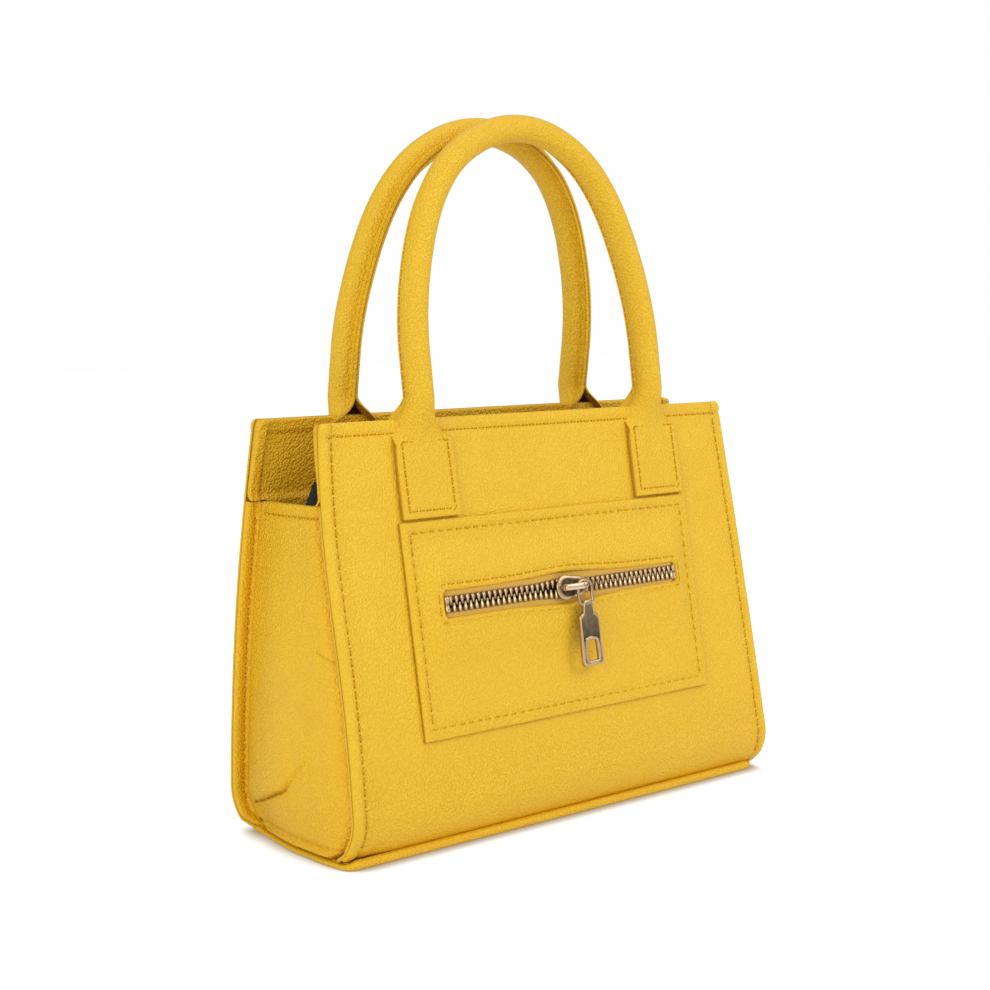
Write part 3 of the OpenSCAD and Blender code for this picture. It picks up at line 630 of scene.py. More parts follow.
def handle(side, name):
    """One strap: a sewn tab, a tube with its fin over the arch and the other tab."""
    x, y, _ = (row[:, None] for row in handle_path())
    rolled, thick = strap_shape(y)
    q = np.concatenate([np.linspace(-1, -0.9, 6), np.linspace(-0.9, 0.9, 64)[1:-1], np.linspace(0.9, 1, 6)])
    flat = 1 - rolled
    e_end = np.abs(y + TAB_L)
    near = np.minimum(e_end, (1 - np.abs(q)) * TAB_W / 2 + 30 * (1 - flat))
    seam = bell(near, TAB_SEAM_IN, 0.6) * smooth(-y, -1, 6)
    pucker = 0.25 * bell(y, -1.5, 3) * ripple(q * 13, y, 4, 7)
    face = (-flat * rounded(near, 0.8) - 0.22 * seam + pucker * flat
            + 0.06 * ripple(q * 13, y, 8 + side, 12))
    outer = strap_points(side, q, 0.5 * thick + face)
    inner = strap_points(side, q, -0.5 * thick)
    # Painted shadow along one long cut edge of the strap and along its lower end.
    shadowed_edge = (q * np.sign(x) > 0.999) | (e_end + 0 * q < 0.05)
    return shell(name, outer, inner, detail=0.45 + 0.25 * rolled + 0 * q, groove=0.85 * flat ** 0.3 * shadowed_edge)


def rope(side, name):
    """The round core inside a handle's tube."""
    x, y, turn = handle_path()
    x, y, turn = (row[y > ROPE_FROM][:, None] for row in (x, y, turn))
    a = circle(20)
    return tube(name, handle_frame(side, x, y, ROPE_R * cos(a), TUBE_FORWARD + ROPE_R * sin(a), turn))


def fin_line(side, q):
    """Points and outward normals along the tube's fin, at share q across the strap."""
    y = handle_path()[1]
    half = strap_shape(y)[1][:, None] / 2
    low, high = (strap_points(side, np.array([q]), half + lift)[y > FIN_SEAM_FROM, 0] for lift in (0, 1))
    return low, high - low


# Pocket
def patch_edge(x, d):
    """Distances from the patch's nearer side edge and from its upper or lower edge. d is measured
    down the panel from its rim."""
    return PATCH_W / 2 - np.abs(x), np.minimum(d - PATCH_TOP, PATCH_END - d)


def patch_lift(x, d):
    """How far the pocket's leather stands off the panel: sewn down at its border and raised
    over the zip."""
    border = smooth(np.minimum(*patch_edge(x, d)), 4.5, 11.5)
    return POCKET_LIFT * (border * (1 - smooth(np.abs(d - ZIP_DOWN), 7, 24)))


def window_half(x):
    """Half the zip window's height at a place along it: it gapes round the slider."""
    past = np.clip(np.abs(x) - (WINDOW_W / 2 - WINDOW_R), 0, WINDOW_R)
    corner = (WINDOW_R - np.sqrt(WINDOW_R ** 2 - past ** 2)) * 0.9
    return 4.05 - 0.55 * np.clip(x / (WINDOW_W / 2), -1, 1) + 1.5 * bell(x, 1, 21) - corner


def patch_grid():
    """Columns and rows of the patch, and which cells are leather: rows follow the window."""
    half, window = PATCH_W / 2, WINDOW_W / 2
    ends = half - spaced(0, half - window, 1.3, dense_end=False)
    close = window - np.array([0, 0.1, 0.3, 0.6, 1.0, 1.6, 2.4, 3.4])
    right = np.concatenate([ends, close[1:], np.linspace(close[-1], 0, 46)[1:]])
    x = np.concatenate([-right, right[-2::-1]])
    border = np.concatenate([[0, .1, .25, .5, .85, 1.3, 1.9, 2.6, 3.2, 3.8, 4.4, 5, 6, 7.2],
                             np.linspace(8.5, 25.5, 14)]) / 25.5
    at_window = 1 - np.array([0, .12, .3, .6, 1, 1.5, 2, 2.5, 3.2, 4.2]) / 25.5
    share = np.unique(np.concatenate([border[border < at_window[-1] - 0.01], at_window]))[:, None]
    gape = window_half(x[None, :])
    d = np.concatenate([PATCH_TOP + share * (ZIP_DOWN - gape - PATCH_TOP),
                        ZIP_DOWN + gape * np.linspace(-1, 1, 7)[1:-1, None],
                        PATCH_END - share[::-1] * (PATCH_END - ZIP_DOWN - gape)])
    keep = np.ones((len(d) - 1, len(x) - 1), bool)
    keep[len(share) - 1:len(share) + 5, np.abs(x[1:] + x[:-1]) / 2 < window] = False
    return x + 0 * d, d, keep


def patch():
    """The zipped pocket's leather with its window."""
    x, d, keep = patch_grid()
    e_side, e_end = patch_edge(x, d)
    e = np.minimum(e_side, e_end)
    e_window = np.hypot(np.maximum(np.abs(x) - WINDOW_W / 2, 0),
                        np.maximum(np.abs(d - ZIP_DOWN) - window_half(x), 0))
    along = np.where(e_side < e_end, d, x)
    relief = (-rounded(np.minimum(e, e_window), 0.6)
              - 0.3 * bell(e, PATCH_SEAM_IN, 0.8) * (1 - 0.3 * cos(2 * pi * along / PATCH_PITCH))
              - 0.28 * bell(e_window, 2.3, 0.8) + 0.25 * bell(e, 2, 1.2) + 0.3 * bell(e_window, 1.1, 0.7)
              + 0.12 * ripple(x, d, 41, 30) + 0.05 * ripple(x, d, 42, 12))
    lift = patch_lift(x, d)
    detail = 0.35 + 0.5 * bell(e, 4, 3) + 0.5 * bell(e_window, 2, 3)
    # Painted shadow along the patch's left and lower cut edges.
    shadowed_edge = np.minimum(PATCH_W / 2 + x, PATCH_END - d) < 0.05
    return wall_shell("pocket_leather", -1, x, d, -(lift + PATCH_T + relief), -(lift + GAP),
                      keep=keep, detail=detail, groove=0.85 * shadowed_edge)


def spread(x):
    """How far a row of teeth stands off its meshed place; the rows part left of the slider."""
    relax_x, nose_x, mesh_x = -14.95, -4.6, -0.8
    return np.interp(x, [relax_x, nose_x, mesh_x], [0.25, 1.0, 0.0])


def tape(sign, name):
    """One woven tape: flat under the pocket's leather, lifted at its corded edge."""
    w = np.concatenate([np.linspace(0, 2, 9), np.linspace(2.4, 8, 12)])
    x, w = np.broadcast_arrays(np.linspace(-TAPE_HALF, TAPE_HALF, 160)[None, :], w[:, None])
    d = ZIP_DOWN - sign * (1.0 + w + spread(x))
    height = (CHAIN_OUT - 1.5 * smooth(w, 2.0, 7.0) - 0.9 * smooth(np.abs(x), 55, 58.5)
              + 0.12 * ripple(x, w, 51, 12) * smooth(w, 1, 4))
    # Painted shade along the cord, where the teeth shadow the tape.
    return wall_shell(name, -1, x, d, -(height + 0.3), -(height - 0.3), groove=1 - smooth(w, 1.2, 1.9))


def teeth(sign, name, x, wider=1.0):
    """A row of metal teeth at places along the zip: rounded bars clamped on the tape's cord, their
    heads past the middle."""
    a = circle(10)
    run = np.array([-0.75, -0.66, -0.4, 0.1, 0.7, 1.4, 2.1, 2.45, 2.6])[:, None]
    wide = 0.5 * wider * np.array([0.55, 0.85, 1.05, 1.0, 1.05, 1.3, 1.3, 1.0, 0.6])[:, None]
    tall = 1.3 * np.array([0.5, 0.75, 0.85, 0.85, 0.9, 1.0, 0.95, 0.8, 0.5])[:, None]
    x = x[:, None, None]
    px = x + wide * squared(cos(a), 0.7)
    py = sign * (run + spread(x)) + 0 * px
    pz = tall * squared(sin(a), 0.7) + 0 * px
    bars = wall_point(-1, px, ZIP_DOWN - py, -(CHAIN_OUT + pz))
    polish = np.clip(1.3 - np.abs(run - 1.3) / 1.6, 0, 1) * (0.15 + 0.85 * (sin(a) > 0.5)) + 0 * px
    return new_object(name, bars, capped(bars), polish)


# Slider and pull, in the zip's own frame: x along it, y up the panel, z out of the chain
def zip_point(p):
    """Points in the bag's frame from points (x, y, z) in the zip's frame."""
    return wall_point(-1, p[..., 0], ZIP_DOWN - p[..., 1], -(CHAIN_OUT + p[..., 2]))


def slab(name, outline, z0, z1, r, dome=0.0, detail=0.3):
    """Plate with rounded edges and a slightly domed face over an outline in the zip's frame."""
    tangent = unit(np.roll(outline, -1, axis=0) - np.roll(outline, 1, axis=0))
    out = np.stack([tangent[:, 1], -tangent[:, 0]], -1)
    middle = outline.mean(axis=0)
    a = np.linspace(0, pi / 2, 5)
    inset = r * (1 - sin(a))
    rise = r * (1 - cos(a))

    def level(flat, height):
        return np.column_stack([flat, np.full(len(outline), height)])

    rings = [level(outline - i * out, h) for i, h in zip(np.append(inset, inset[::-1]),
                                                         np.append(z0 + rise, (z1 - rise)[::-1]))]
    top = rings[-1][:, :2]
    rings += [level(middle + (top - middle) * k, z1 + dome * (1 - k * k))
              for k in (0.92, 0.8, 0.6, 0.35, 0.06)]
    rings = np.array(rings)
    polish = np.full(rings.shape[:2], detail)
    polish[5:11] = 1.0
    return tube(name, zip_point(rings), polish)


def capsule_outline(x0, x1, r0, r1, n):
    """Outline round two circles on the zip's line."""
    lean = math.asin((r0 - r1) / (x1 - x0))
    a = np.linspace(-pi / 2 + lean, pi / 2 - lean, n)
    b = np.linspace(pi / 2 - lean, 3 * pi / 2 + lean, n)
    return np.concatenate([np.column_stack([x1 + r1 * cos(a), r1 * sin(a)]),
                           np.column_stack([x0 + r0 * cos(b), r0 * sin(b)])])


def ray_to(polygon, centre, angle):
    """How far a ray from a centre runs to a polygon's farthest side."""
    best = np.zeros(len(angle))
    d = np.stack([cos(angle), sin(angle)], -1)
    for p, q in zip(polygon, np.roll(polygon, -1, axis=0)):
        e, w = q - p, p - centre
        cross = d[:, 0] * e[1] - d[:, 1] * e[0]
        with np.errstate(divide="ignore", invalid="ignore"):
            t = (w[0] * e[1] - w[1] * e[0]) / cross
            u = (w[0] * d[:, 1] - w[1] * d[:, 0]) / cross
        best = np.where((np.abs(cross) > 1e-9) & (u >= -1e-9) & (u <= 1 + 1e-9) & (t > best), t, best)
    return best


def rounded_polygon(corners, radii):
    """Polygon with round corners, as points."""
    pts = []
    corners = np.asarray(corners, float)
    for p, c, q, r in zip(np.roll(corners, 1, axis=0), corners, np.roll(corners, -1, axis=0), radii):
        a, b = unit(p - c), unit(q - c)
        reach = r / math.tan(math.acos(np.clip(a @ b, -1, 1)) / 2)
        t = np.linspace(0, 1, 7)[:, None]
        pts.append((1 - t) ** 2 * (c + a * reach) + 2 * t * (1 - t) * c + t ** 2 * (c + b * reach))
    return np.concatenate(pts)


def pull(name):
    """The pull: a neck, rounded shoulders, a raised rim all round, a hollow face and a window."""
    outer = rounded_polygon([(-2.2, 1.5), (-2.2, -2.6), (-4.6, -4.0), (-5.3, -22.1), (5.3, -22.1),
                             (4.6, -4.0), (2.2, -2.6), (2.2, 1.5)], [1.6, 0.8, 1.3, 2.0, 2.0, 1.3, 0.8, 1.6])
    inner = rounded_polygon([(-2.6, -13.3), (-2.9, -20.2), (2.9, -20.2), (2.6, -13.3), (0, -12.9)],
                            [0.7, 0.9, 0.9, 0.7, 1.5])
    centre = np.array([0.0, -16.7])
    angle = np.linspace(0, 2 * pi, 181)[:-1]
    reach = ray_to(outer, centre, angle)[:, None]
    width = reach - ray_to(inner, centre, angle)[:, None]
    steps = np.array([0, 0.08, 0.25, 0.5, 0.8, 1.1, 1.35, 1.6, 2.2])
    first = np.minimum(steps, width * 0.47 * (steps / steps[-1]) + 1e-4 * steps)
    d = np.concatenate([first, width - first[:, ::-1]], axis=1)
    near = np.minimum(d, width - d)
    rim = 0.85 - rounded(near, 0.6)
    r = reach - d
    x, y = centre[0] + r * cos(angle)[:, None], centre[1] + r * sin(angle)[:, None]
    front = np.stack([x, y, rim - 0.28 * smooth(near, 1.0, 1.45)], -1)
    back = np.stack([x, y, -rim], -1)[:, ::-1]
    rings = np.concatenate([front, back[:, 1:-1]], axis=1)
    # The hollow face is lighter towards the neck: a painted reflection.
    face = 0.08 + 0.3 * smooth(y, -13, 0)
    polish = np.concatenate([1 - (1 - face) * smooth(near, 0.9, 1.3), 0.6 + 0 * near[:, 1:-1]], axis=1)
    down = rings[..., 1]
    place = np.stack([LINK_X - 0.06 * down, 0 * down + LINK_LOW, LINK_Z + 0.075 * np.minimum(0, down)], -1)
    return tube(name, zip_point(rings + place), polish, closed=True)


def link(name):
    """The round wire loop between the slider's bridge and the pull."""
    a = np.linspace(0, pi, 24)
    arch = np.column_stack([LINK_X + LINK_HALF * cos(a), LINK_TOP - 2.6 + 2.6 * sin(a)])
    left, right, top = LINK_X - LINK_HALF, LINK_X + LINK_HALF, LINK_TOP - 4
    feet = rounded_polygon([(left, top), (left + 0.5, LINK_LOW), (right - 0.5, LINK_LOW), (right, top)],
                           [0.2, 1.2, 1.2, 0.2])
    path = np.concatenate([arch, feet])
    path = np.column_stack([path, np.full(len(path), LINK_Z)])
    side = np.cross(unit(np.roll(path, -1, axis=0) - np.roll(path, 1, axis=0)), [0, 0, 1.0])
    a = circle(12)[:, None]
    rings = path[:, None] + WIRE_R * cos(a) * side[:, None] + WIRE_R * sin(a) * np.array([0, 0, 1.0])
    return tube(name, zip_point(rings), np.full(rings.shape[:2], 0.8), closed=True)


def slider_parts():
    """The slider's plates and post, and its bridge of four pieces."""
    nose = capsule_outline(-2.1, 4.6, 4.4, 3.5, 30)
    plates = [slab("slider_plate", nose, 1.35, 2.5, 0.45, 0.35, 0.0),
              slab("slider_back_plate", nose, -2.4, -1.4, 0.35, 0.0, 0.1),
              slab("slider_post", capsule_outline(-5.6, -3.9, 0.5, 0.2, 10), -1.6, 1.6, 0.1)]
    bridge = [slab("slider_bridge_bar", capsule_outline(-3.6, 4.9, 1.15, 1.25, 18), 4.1, 5.5, 0.6, 0.1, 0.9),
              slab("slider_bridge_foot", capsule_outline(-3.9, -3.3, 1.2, 1.15, 14), 2.3, 4.4, 0.1, 0.0, 0.4),
              slab("slider_knob", capsule_outline(4.7, 5.1, 1.2, 1.15, 18), 4.5, 5.75, 0.45, 0.15, 0.6),
              slab("slider_stem", capsule_outline(4.85, 4.95, 1.1, 1.08, 14), 2.3, 4.6, 0.05, 0.0, 0.3)]
    return plates, bridge


# Base
def loop(half_x, half_y, back_r, front_r):
    """Rounded rectangle in plan, rounder at its right front corner: points and outward normals."""
    sx, sy = np.array([1, -1, -1, 1])[:, None], np.array([1, 1, -1, -1])[:, None]
    r = np.where(sy > 0, back_r, front_r + 6 * (sx > 0))
    turn = np.linspace(0, pi / 2, 10) + np.arange(4)[:, None] * pi / 2
    pts = np.stack([sx * (half_x - r) + r * cos(turn), sy * (half_y - r) + r * sin(turn)], -1)
    return pts.reshape(-1, 2), np.stack([cos(turn), sin(turn)], -1).reshape(-1, 2)


def piping():
    """The rolled strip that stands out round the base."""
    places, normals = [], []
    pts, nor = loop(BASE_X + 0.2, BASE_Y + 0.1, 2.5, 3)
    for p, q, a, b in zip(pts, np.roll(pts, -1, axis=0), nor, np.roll(nor, -1, axis=0)):
        k = max(1, int(np.hypot(*(q - p)) / 1.6))
        share = np.arange(k)[:, None] / k
        places.append(p * (1 - share) + q * share)
        normals.append(a * (1 - share) + b * share)
    x, y = np.concatenate(places).T[..., None]
    nx, ny = unit(np.concatenate(normals)).T[..., None]
    x = x - np.sign(x) * (np.abs(x) / BASE_X) ** 6 * foot_taper(y)
    a = circle(16)
    radial = squared(cos(a), 0.8) * PIPING_D / 2 * (1 + 0.006 * ripple(x, y, 61, 14))
    tall = 1.55 - 0.75 * nx ** 2 + 0.8 * smooth(y, 23, 32) * smooth(np.abs(x), 82, 94)
    rings = np.stack([x + nx * radial, y + ny * radial, (1 + squared(sin(a), 0.8)) * tall], -1)
    # Painted shade on the strip's underside and on its inner side towards the bag.
    under = 0.8 * smooth(-sin(a), 0.2, 0.9) + 0.6 * smooth(-cos(a), 0, 0.6) + 0 * radial
    return tube("base_rolled_edge", rings, 0.3 + 0 * radial, closed=True, groove=under)


def plate_sheet(name, inset, z0, z1):
    """A flat sheet inside the base strip, between two heights."""
    x, y = np.meshgrid(np.linspace(-1, 1, 60), np.linspace(-1, 1, 40) * (BASE_Y - inset))
    corner = 4 * (1 - np.sqrt(np.maximum(0, 1 - (np.abs(y) / BASE_Y) ** 24)))
    x = x * (BASE_X - inset - foot_taper(y) - corner)
    return shell(name, *(np.stack([x, y, z + 0 * x], -1) for z in (z1, z0)))


# Materials
class Value:
    """A shader socket that Python's arithmetic works on."""

    def __init__(self, graph, socket):
        self.graph, self.socket = graph, socket

    def _math(self, operation, *others):
        return self.graph.node("Math", dict(enumerate((self,) + others)), operation=operation)

    def __add__(self, other):
        return self._math("ADD", other)

    def __sub__(self, other):
        return self._math("SUBTRACT", other)

    def __mul__(self, other):
        return self._math("MULTIPLY", other)

    def __rsub__(self, other):
        return self._math("MULTIPLY_ADD", -1.0, other)

    __radd__, __rmul__ = __add__, __mul__

    def clamp(self):
        """The value held between 0 and 1."""
        return self.graph.node("Clamp", {0: self})

    def between(self, low, high):
        """0 below low, 1 above high."""
        return self.graph.node("MapRange", {0: self, 1: low, 2: high, 3: 0.0, 4: 1.0},
                               interpolation_type="SMOOTHSTEP")


class Graph:
    """The node tree of a material or of the world."""

    def __init__(self, owner):
        self.owner = owner
        owner.use_nodes = True
        self.tree = owner.node_tree
        self.tree.nodes.clear()

    def node(self, kind, inputs=None, out=0, **settings):
        """Adds a node, sets its inputs and returns one of its outputs."""
        made = self.tree.nodes.new("ShaderNode" + kind)
        for key, value in settings.items():
            setattr(made, key, value)
        for key, value in (inputs or {}).items():
            if isinstance(value, Value):
                self.tree.links.new(value.socket, made.inputs[key])
            else:
                made.inputs[key].default_value = value
        return Value(self, made.outputs[out]) if made.outputs else None

    def place(self, scale=(1, 1, 1), turn=(0, 0, 0)):
        """Object coordinates, stretched and turned."""
        here = self.node("TexCoord", out="Object")
        return self.node("Mapping", {"Vector": here, "Scale": scale, "Rotation": turn})

    def attribute(self, name):
        """One of a mesh's own values per point."""
        return self.node("Attribute", out=2, attribute_name=name)

    def noise(self, where, scale, detail=2.0, rough=0.5):
        """Soft random values over places; a larger scale makes them finer."""
        return self.node("TexNoise", {"Vector": where, "Scale": scale, "Detail": detail, "Roughness": rough})

    def mix(self, share, a, b):
        """Colour between a and b."""
        return self.node("Mix", {0: share, 6: a, 7: b}, out=2, data_type="RGBA")

    def finish(self, color, rough, height, distance, strength, metallic=0.0, specular=0.5):
        """Ends in a Principled surface with a bump."""
        bump = self.node("Bump", {"Height": height, "Distance": distance, "Strength": strength})
        surface = self.node("BsdfPrincipled", {
            "Base Color": color, "Roughness": rough, "Metallic": metallic, "Normal": bump,
            "Specular IOR Level": specular})
        self.node("OutputMaterial", {"Surface": surface})
        return self.owner


def leather(name, color, dark, turn=(0.3, 0.5, 0.2), grain=0.8):
    """Grained leather: pebbles with darker lines between them, soft broad patches of tone, folds
    where the mesh asks for detail and painted shade, a deep brown, where the mesh marks seams,
    turns and shadowed edges."""
    g = Graph(bpy.data.materials.new(name))
    at = g.place(turn=turn)
    warp = g.node("TexNoise", {"Vector": at, "Scale": 240.0, "Detail": 1.0}, out=1)
    moved = g.node("VectorMath", {0: warp, 3: 0.0012}, operation="SCALE")
    where = g.node("VectorMath", {0: at, 1: moved}, operation="ADD")
    cells = g.node("TexVoronoi", {"Vector": where, "Scale": 1020.0, "Randomness": 0.85})
    pebble = (cells * cells * -1.9 + 1.0).clamp()
    broad = g.noise(at, 42.0, 3.0, 0.55)
    mid = g.noise(at, 210.0, 3.0, 0.6)
    detail, groove = g.attribute("detail"), g.attribute("groove")
    folds = g.noise(g.place((1.0, 1.0, 0.5), (0.5, 0.6, 0.3)), 520.0)
    height = pebble * (0.35 + 0.75 * broad) * (0.8 + 0.45 * detail) + mid * 0.25 + folds * detail * 0.6
    tone = (broad * 0.7 + mid * 0.3).between(0.25, 0.78)
    lines = (1.0 - pebble) * (0.12 + 0.2 * detail)
    shade = g.mix(lines, g.mix(tone, dark, color), (0.7 * dark[0], 0.6 * dark[1], 0.3 * dark[2], 1.0))
    # Painted shade: the mesh's shade values darken the colour towards a deep brown.
    shade = g.mix((groove * groove * groove * 0.85).clamp(), shade, (0.28, 0.11, 0.002, 1.0))
    rough = 0.45 - 0.06 * tone + 0.12 * (1.0 - pebble) + 0.4 * groove
    return g.finish(shade, rough, height, 0.0004, grain, specular=0.42)


def woven(name, color, dark):
    """Tape woven in fine ribs across its length, with painted shade along its corded edge."""
    g = Graph(bpy.data.materials.new(name))
    at = g.place()
    ribs = g.node("TexWave", {"Vector": at, "Scale": 360.0, "Distortion": 0.6, "Detail": 1.0},
                  bands_direction="X")
    rows = g.node("TexWave", {"Vector": at, "Scale": 420.0, "Distortion": 0.4}, bands_direction="Z")
    height = ribs * 0.6 + rows * 0.4
    # Painted shade near the cord, a near-black brown.
    shade = g.mix(g.attribute("groove") * 0.95, g.mix(height, dark, color), (0.06, 0.03, 0.014, 1.0))
    return g.finish(shade, 0.8, height, 0.00015, 0.6)


def cloth(name, color, dark, shine=0.3):
    """Plain matt cloth or board."""
    g = Graph(bpy.data.materials.new(name))
    fine = g.noise(g.place(), 1500.0)
    return g.finish(g.mix(fine, dark, color), 0.9, fine, 0.0001, 0.4, specular=shine)


def metal(name, color, dark, rough):
    """Antique plated metal: bright where the mesh is polished, dark elsewhere, finely scratched."""
    g = Graph(bpy.data.materials.new(name))
    patches = g.noise(g.place(), 420.0, 3.0, 0.6).between(0.3, 0.75)
    scratches = g.noise(g.place((1, 1, 9), (0.4, 0.2, 0.7)), 1500.0)
    bright = (g.attribute("detail") * 0.85 + patches * 0.15).clamp()
    shade = g.mix(bright, dark, color)
    return g.finish(shade, rough + 0.16 * scratches, scratches, 0.00003, 0.3, metallic=1.0)


def thread(name, color, dark):
    """Twisted sewing thread."""
    g = Graph(bpy.data.materials.new(name))
    at = g.place(turn=(0.4, 0.7, 0.1))
    strands = g.node("TexWave", {"Vector": at, "Scale": 520.0, "Distortion": 0.8})
    return g.finish(g.mix(strands, dark, color), 0.8, strands, 0.0001, 0.6, specular=0.1)


leather_face = leather("leather", (0.845, 0.52, 0.012, 1), (0.795, 0.47, 0.009, 1))
leather_side = leather("side_leather", (0.86, 0.515, 0.009, 1), (0.80, 0.455, 0.007, 1),
                       turn=(0.9, 0.1, 0.6), grain=1.0)
# A lighter copy of the leather for the facings inside the mouth: painted light that lifts their shade.
brightened_leather_inside = leather("facing_leather", (0.90, 0.525, 0.012, 1), (0.83, 0.46, 0.010, 1), grain=1.0)
thread_mat = thread("thread", (0.72, 0.39, 0.008, 1), (0.56, 0.28, 0.005, 1))
# The needle holes' colour is painted shade inside the holes.
hole_shade_mat = cloth("needle_hole_shade", (0.42, 0.17, 0.002, 1), (0.34, 0.13, 0.002, 1), 0.0)
tape_mat = woven("zip_tape", (0.68, 0.40, 0.06, 1), (0.54, 0.29, 0.04, 1))
lining_mat = cloth("lining", (0.020, 0.019, 0.018, 1), (0.008, 0.008, 0.008, 1))
board_mat = cloth("board", (0.32, 0.28, 0.22, 1), (0.22, 0.19, 0.15, 1))
rope_mat = thread("rope", (0.55, 0.47, 0.35, 1), (0.40, 0.33, 0.24, 1))
metal_mat = metal("antique_metal", (0.68, 0.50, 0.30, 1), (0.05, 0.032, 0.017, 1), 0.26)
# A lighter, pinker copy of the antique metal for the slider's bridge bar: a painted highlight.
copper_highlight_mat = metal("copper_highlight_metal", (0.88, 0.66, 0.50, 1), (0.40, 0.26, 0.17, 1), 0.26)
bright_mat = metal("worn_metal", (0.80, 0.57, 0.31, 1), (0.08, 0.045, 0.022, 1), 0.26)


def dress(obj, material):
    """Gives an object its material. Stitches also take the needle holes'."""
    obj.data.materials.append(material)
    # Stitches also take the painted shade of their needle holes.
    if material == thread_mat:
        obj.data.materials.append(hole_shade_mat)


def add(obj, material, slot, *nodes, body="bag_body"):
    """Dresses a modelled piece, ties it to its body and hides the CAD nodes that it stands for."""
    dress(obj, material)
    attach(obj, body)
    if nodes:
        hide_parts(*nodes)


def sew(name, line, pitch, body="bag_body"):
    """Adds a row of stitches along a line of (points, normals)."""
    add(stitch_row(name, *line, pitch), thread_mat, "leather", body=body)


# Body
for side, word in ((-1, "front"), (1, "back")):
    add(panel(side, word + "_leather"), leather_face, "leather", word + "_panel")
    sew(word + "_panel_stitches", panel_seam(side, PANEL_H - 4, 160, 0.2), SEAM_PITCH)
    add(wall_sheet(side, word + "_facing_leather", PANEL_T + GAP, PANEL_T + FACING_T, rim_start(side),
                   GUSSET_DROP + 4, 0.2, 0.6, 0.9, hem=0.9, lap_t=1.7),
        brightened_leather_inside, "leather", word + "_facing")
    points, normals = panel_seam(side, GUSSET_DROP - 1, 30, PANEL_T + FACING_T + 0.15)
    sew(word + "_facing_stitches", (points, -normals), SEAM_PITCH)
    behind = PANEL_T + BOARD_T
    add(wall_sheet(side, word + "_stiffener", PANEL_T + GAP, behind, GUSSET_DROP, STRAIGHT, BOARD_INSET),
        board_mat, "board", word + "_board")
    add(wall_sheet(side, word + "_lining_cloth", behind + GAP, behind + LINING_T, GUSSET_DROP, STRAIGHT,
                   BOARD_INSET), lining_mat, "lining", word + "_lining")
for mirror, word in ((-1, "left"), (1, "right")):
    add(side_lining(mirror, word + "_lining_cloth"), lining_mat, "lining", word + "_lining")
    add(gusset(mirror, word + "_side_leather"), leather_side, "side_leather", "gusset_" + word)
    sew(word + "_side_top_stitches", gusset_line(mirror, GUSSET_DROP + 4, np.linspace(-0.93, 0.93, 50)), 3.4)
    s = np.linspace(GUSSET_DROP + 5, PANEL_H - 8, 140)
    for end, t in (("back", -2.05), ("front", 2.05)):
        sew("%s_%s_fin_stitches" % (word, end), gusset_line(mirror, s, t), SEAM_PITCH)
add(piping(), leather_side, "leather", "base_piping")
add(plate_sheet("base_leather", 0.8, 0.0, 1.8), leather_face, "leather", "base_panel")
add(plate_sheet("base_stiffener", 3.5, 1.85, 4.0), board_mat, "board", "base_board")
add(plate_sheet("base_lining_cloth", 4.0, 4.05, 4.5), lining_mat, "lining", "base_lining")

# Pocket and zip
add(patch(), leather_face, "leather", "pocket_patch")
half, top, low = PATCH_W / 2 - PATCH_SEAM_IN, PATCH_TOP + PATCH_SEAM_IN, PATCH_END - PATCH_SEAM_IN
counts = (90, 50, 90, 50)
xs = polyline((-half, half, half, -half, -half), counts)
ds = polyline((top, top, low, low, top), counts)
sew("pocket_edge_stitches", wall_line(-1, xs, ds, 0.25 - PATCH_T), PATCH_PITCH)


def window_seam(word, x, d):
    """A row of stitches beside the zip's window."""
    depth = -(patch_lift(x, d) + PATCH_T - 0.2)
    sew("window_%s_stitches" % word, wall_line(-1, x, d, depth), PATCH_PITCH)


xs = np.linspace(-WINDOW_SEAM_X, WINDOW_SEAM_X, 160)
for word, sign, away in (("upper", -1, 2.2), ("lower", 1, 1.5)):
    window_seam(word, xs, ZIP_DOWN + sign * (window_half(np.clip(xs, -57, 57)) + away))
for word, sign in (("left", -1), ("right", 1)):
    window_seam(word, np.full(12, sign * WINDOW_SEAM_X), ZIP_DOWN + np.linspace(-4.2, 4.2, 12))
add(tape(1, "upper_tape"), tape_mat, "zip_tape", "zip_tape_upper")
add(tape(-1, "lower_tape"), tape_mat, "zip_tape", "zip_tape_lower")

tooth_x = (np.arange(TOOTH_N) - (TOOTH_N - 1) / 2) * TOOTH_PITCH
last_x = TOOTH_N * TOOTH_PITCH / 2 + 0.9
for sign, word in ((1, "upper"), (-1, "lower")):
    add(teeth(sign, word + "_teeth", tooth_x - sign * TOOTH_PITCH / 4), bright_mat, "antique_metal",
        "zip_teeth_" + word)
    for end, x in (("top", -last_x), ("bottom", last_x)):
        add(teeth(sign, "%s_%s_stop" % (word, end), np.array([x]), 1.5), bright_mat, "antique_metal")
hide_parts("zip_top_stops")
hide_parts("zip_bottom_stop")
plates, bridge = slider_parts()
for obj in plates + bridge:
    add(obj, copper_highlight_mat if obj == bridge[0] else metal_mat, "antique_metal", body="zip_slider")
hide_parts("slider_body")
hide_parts("slider_bridge")
add(link("pull_ring"), metal_mat, "antique_metal", "pull_link", body="pull_link")
add(pull("pull_plate"), metal_mat, "antique_metal", "pull_tab", body="pull_tab")

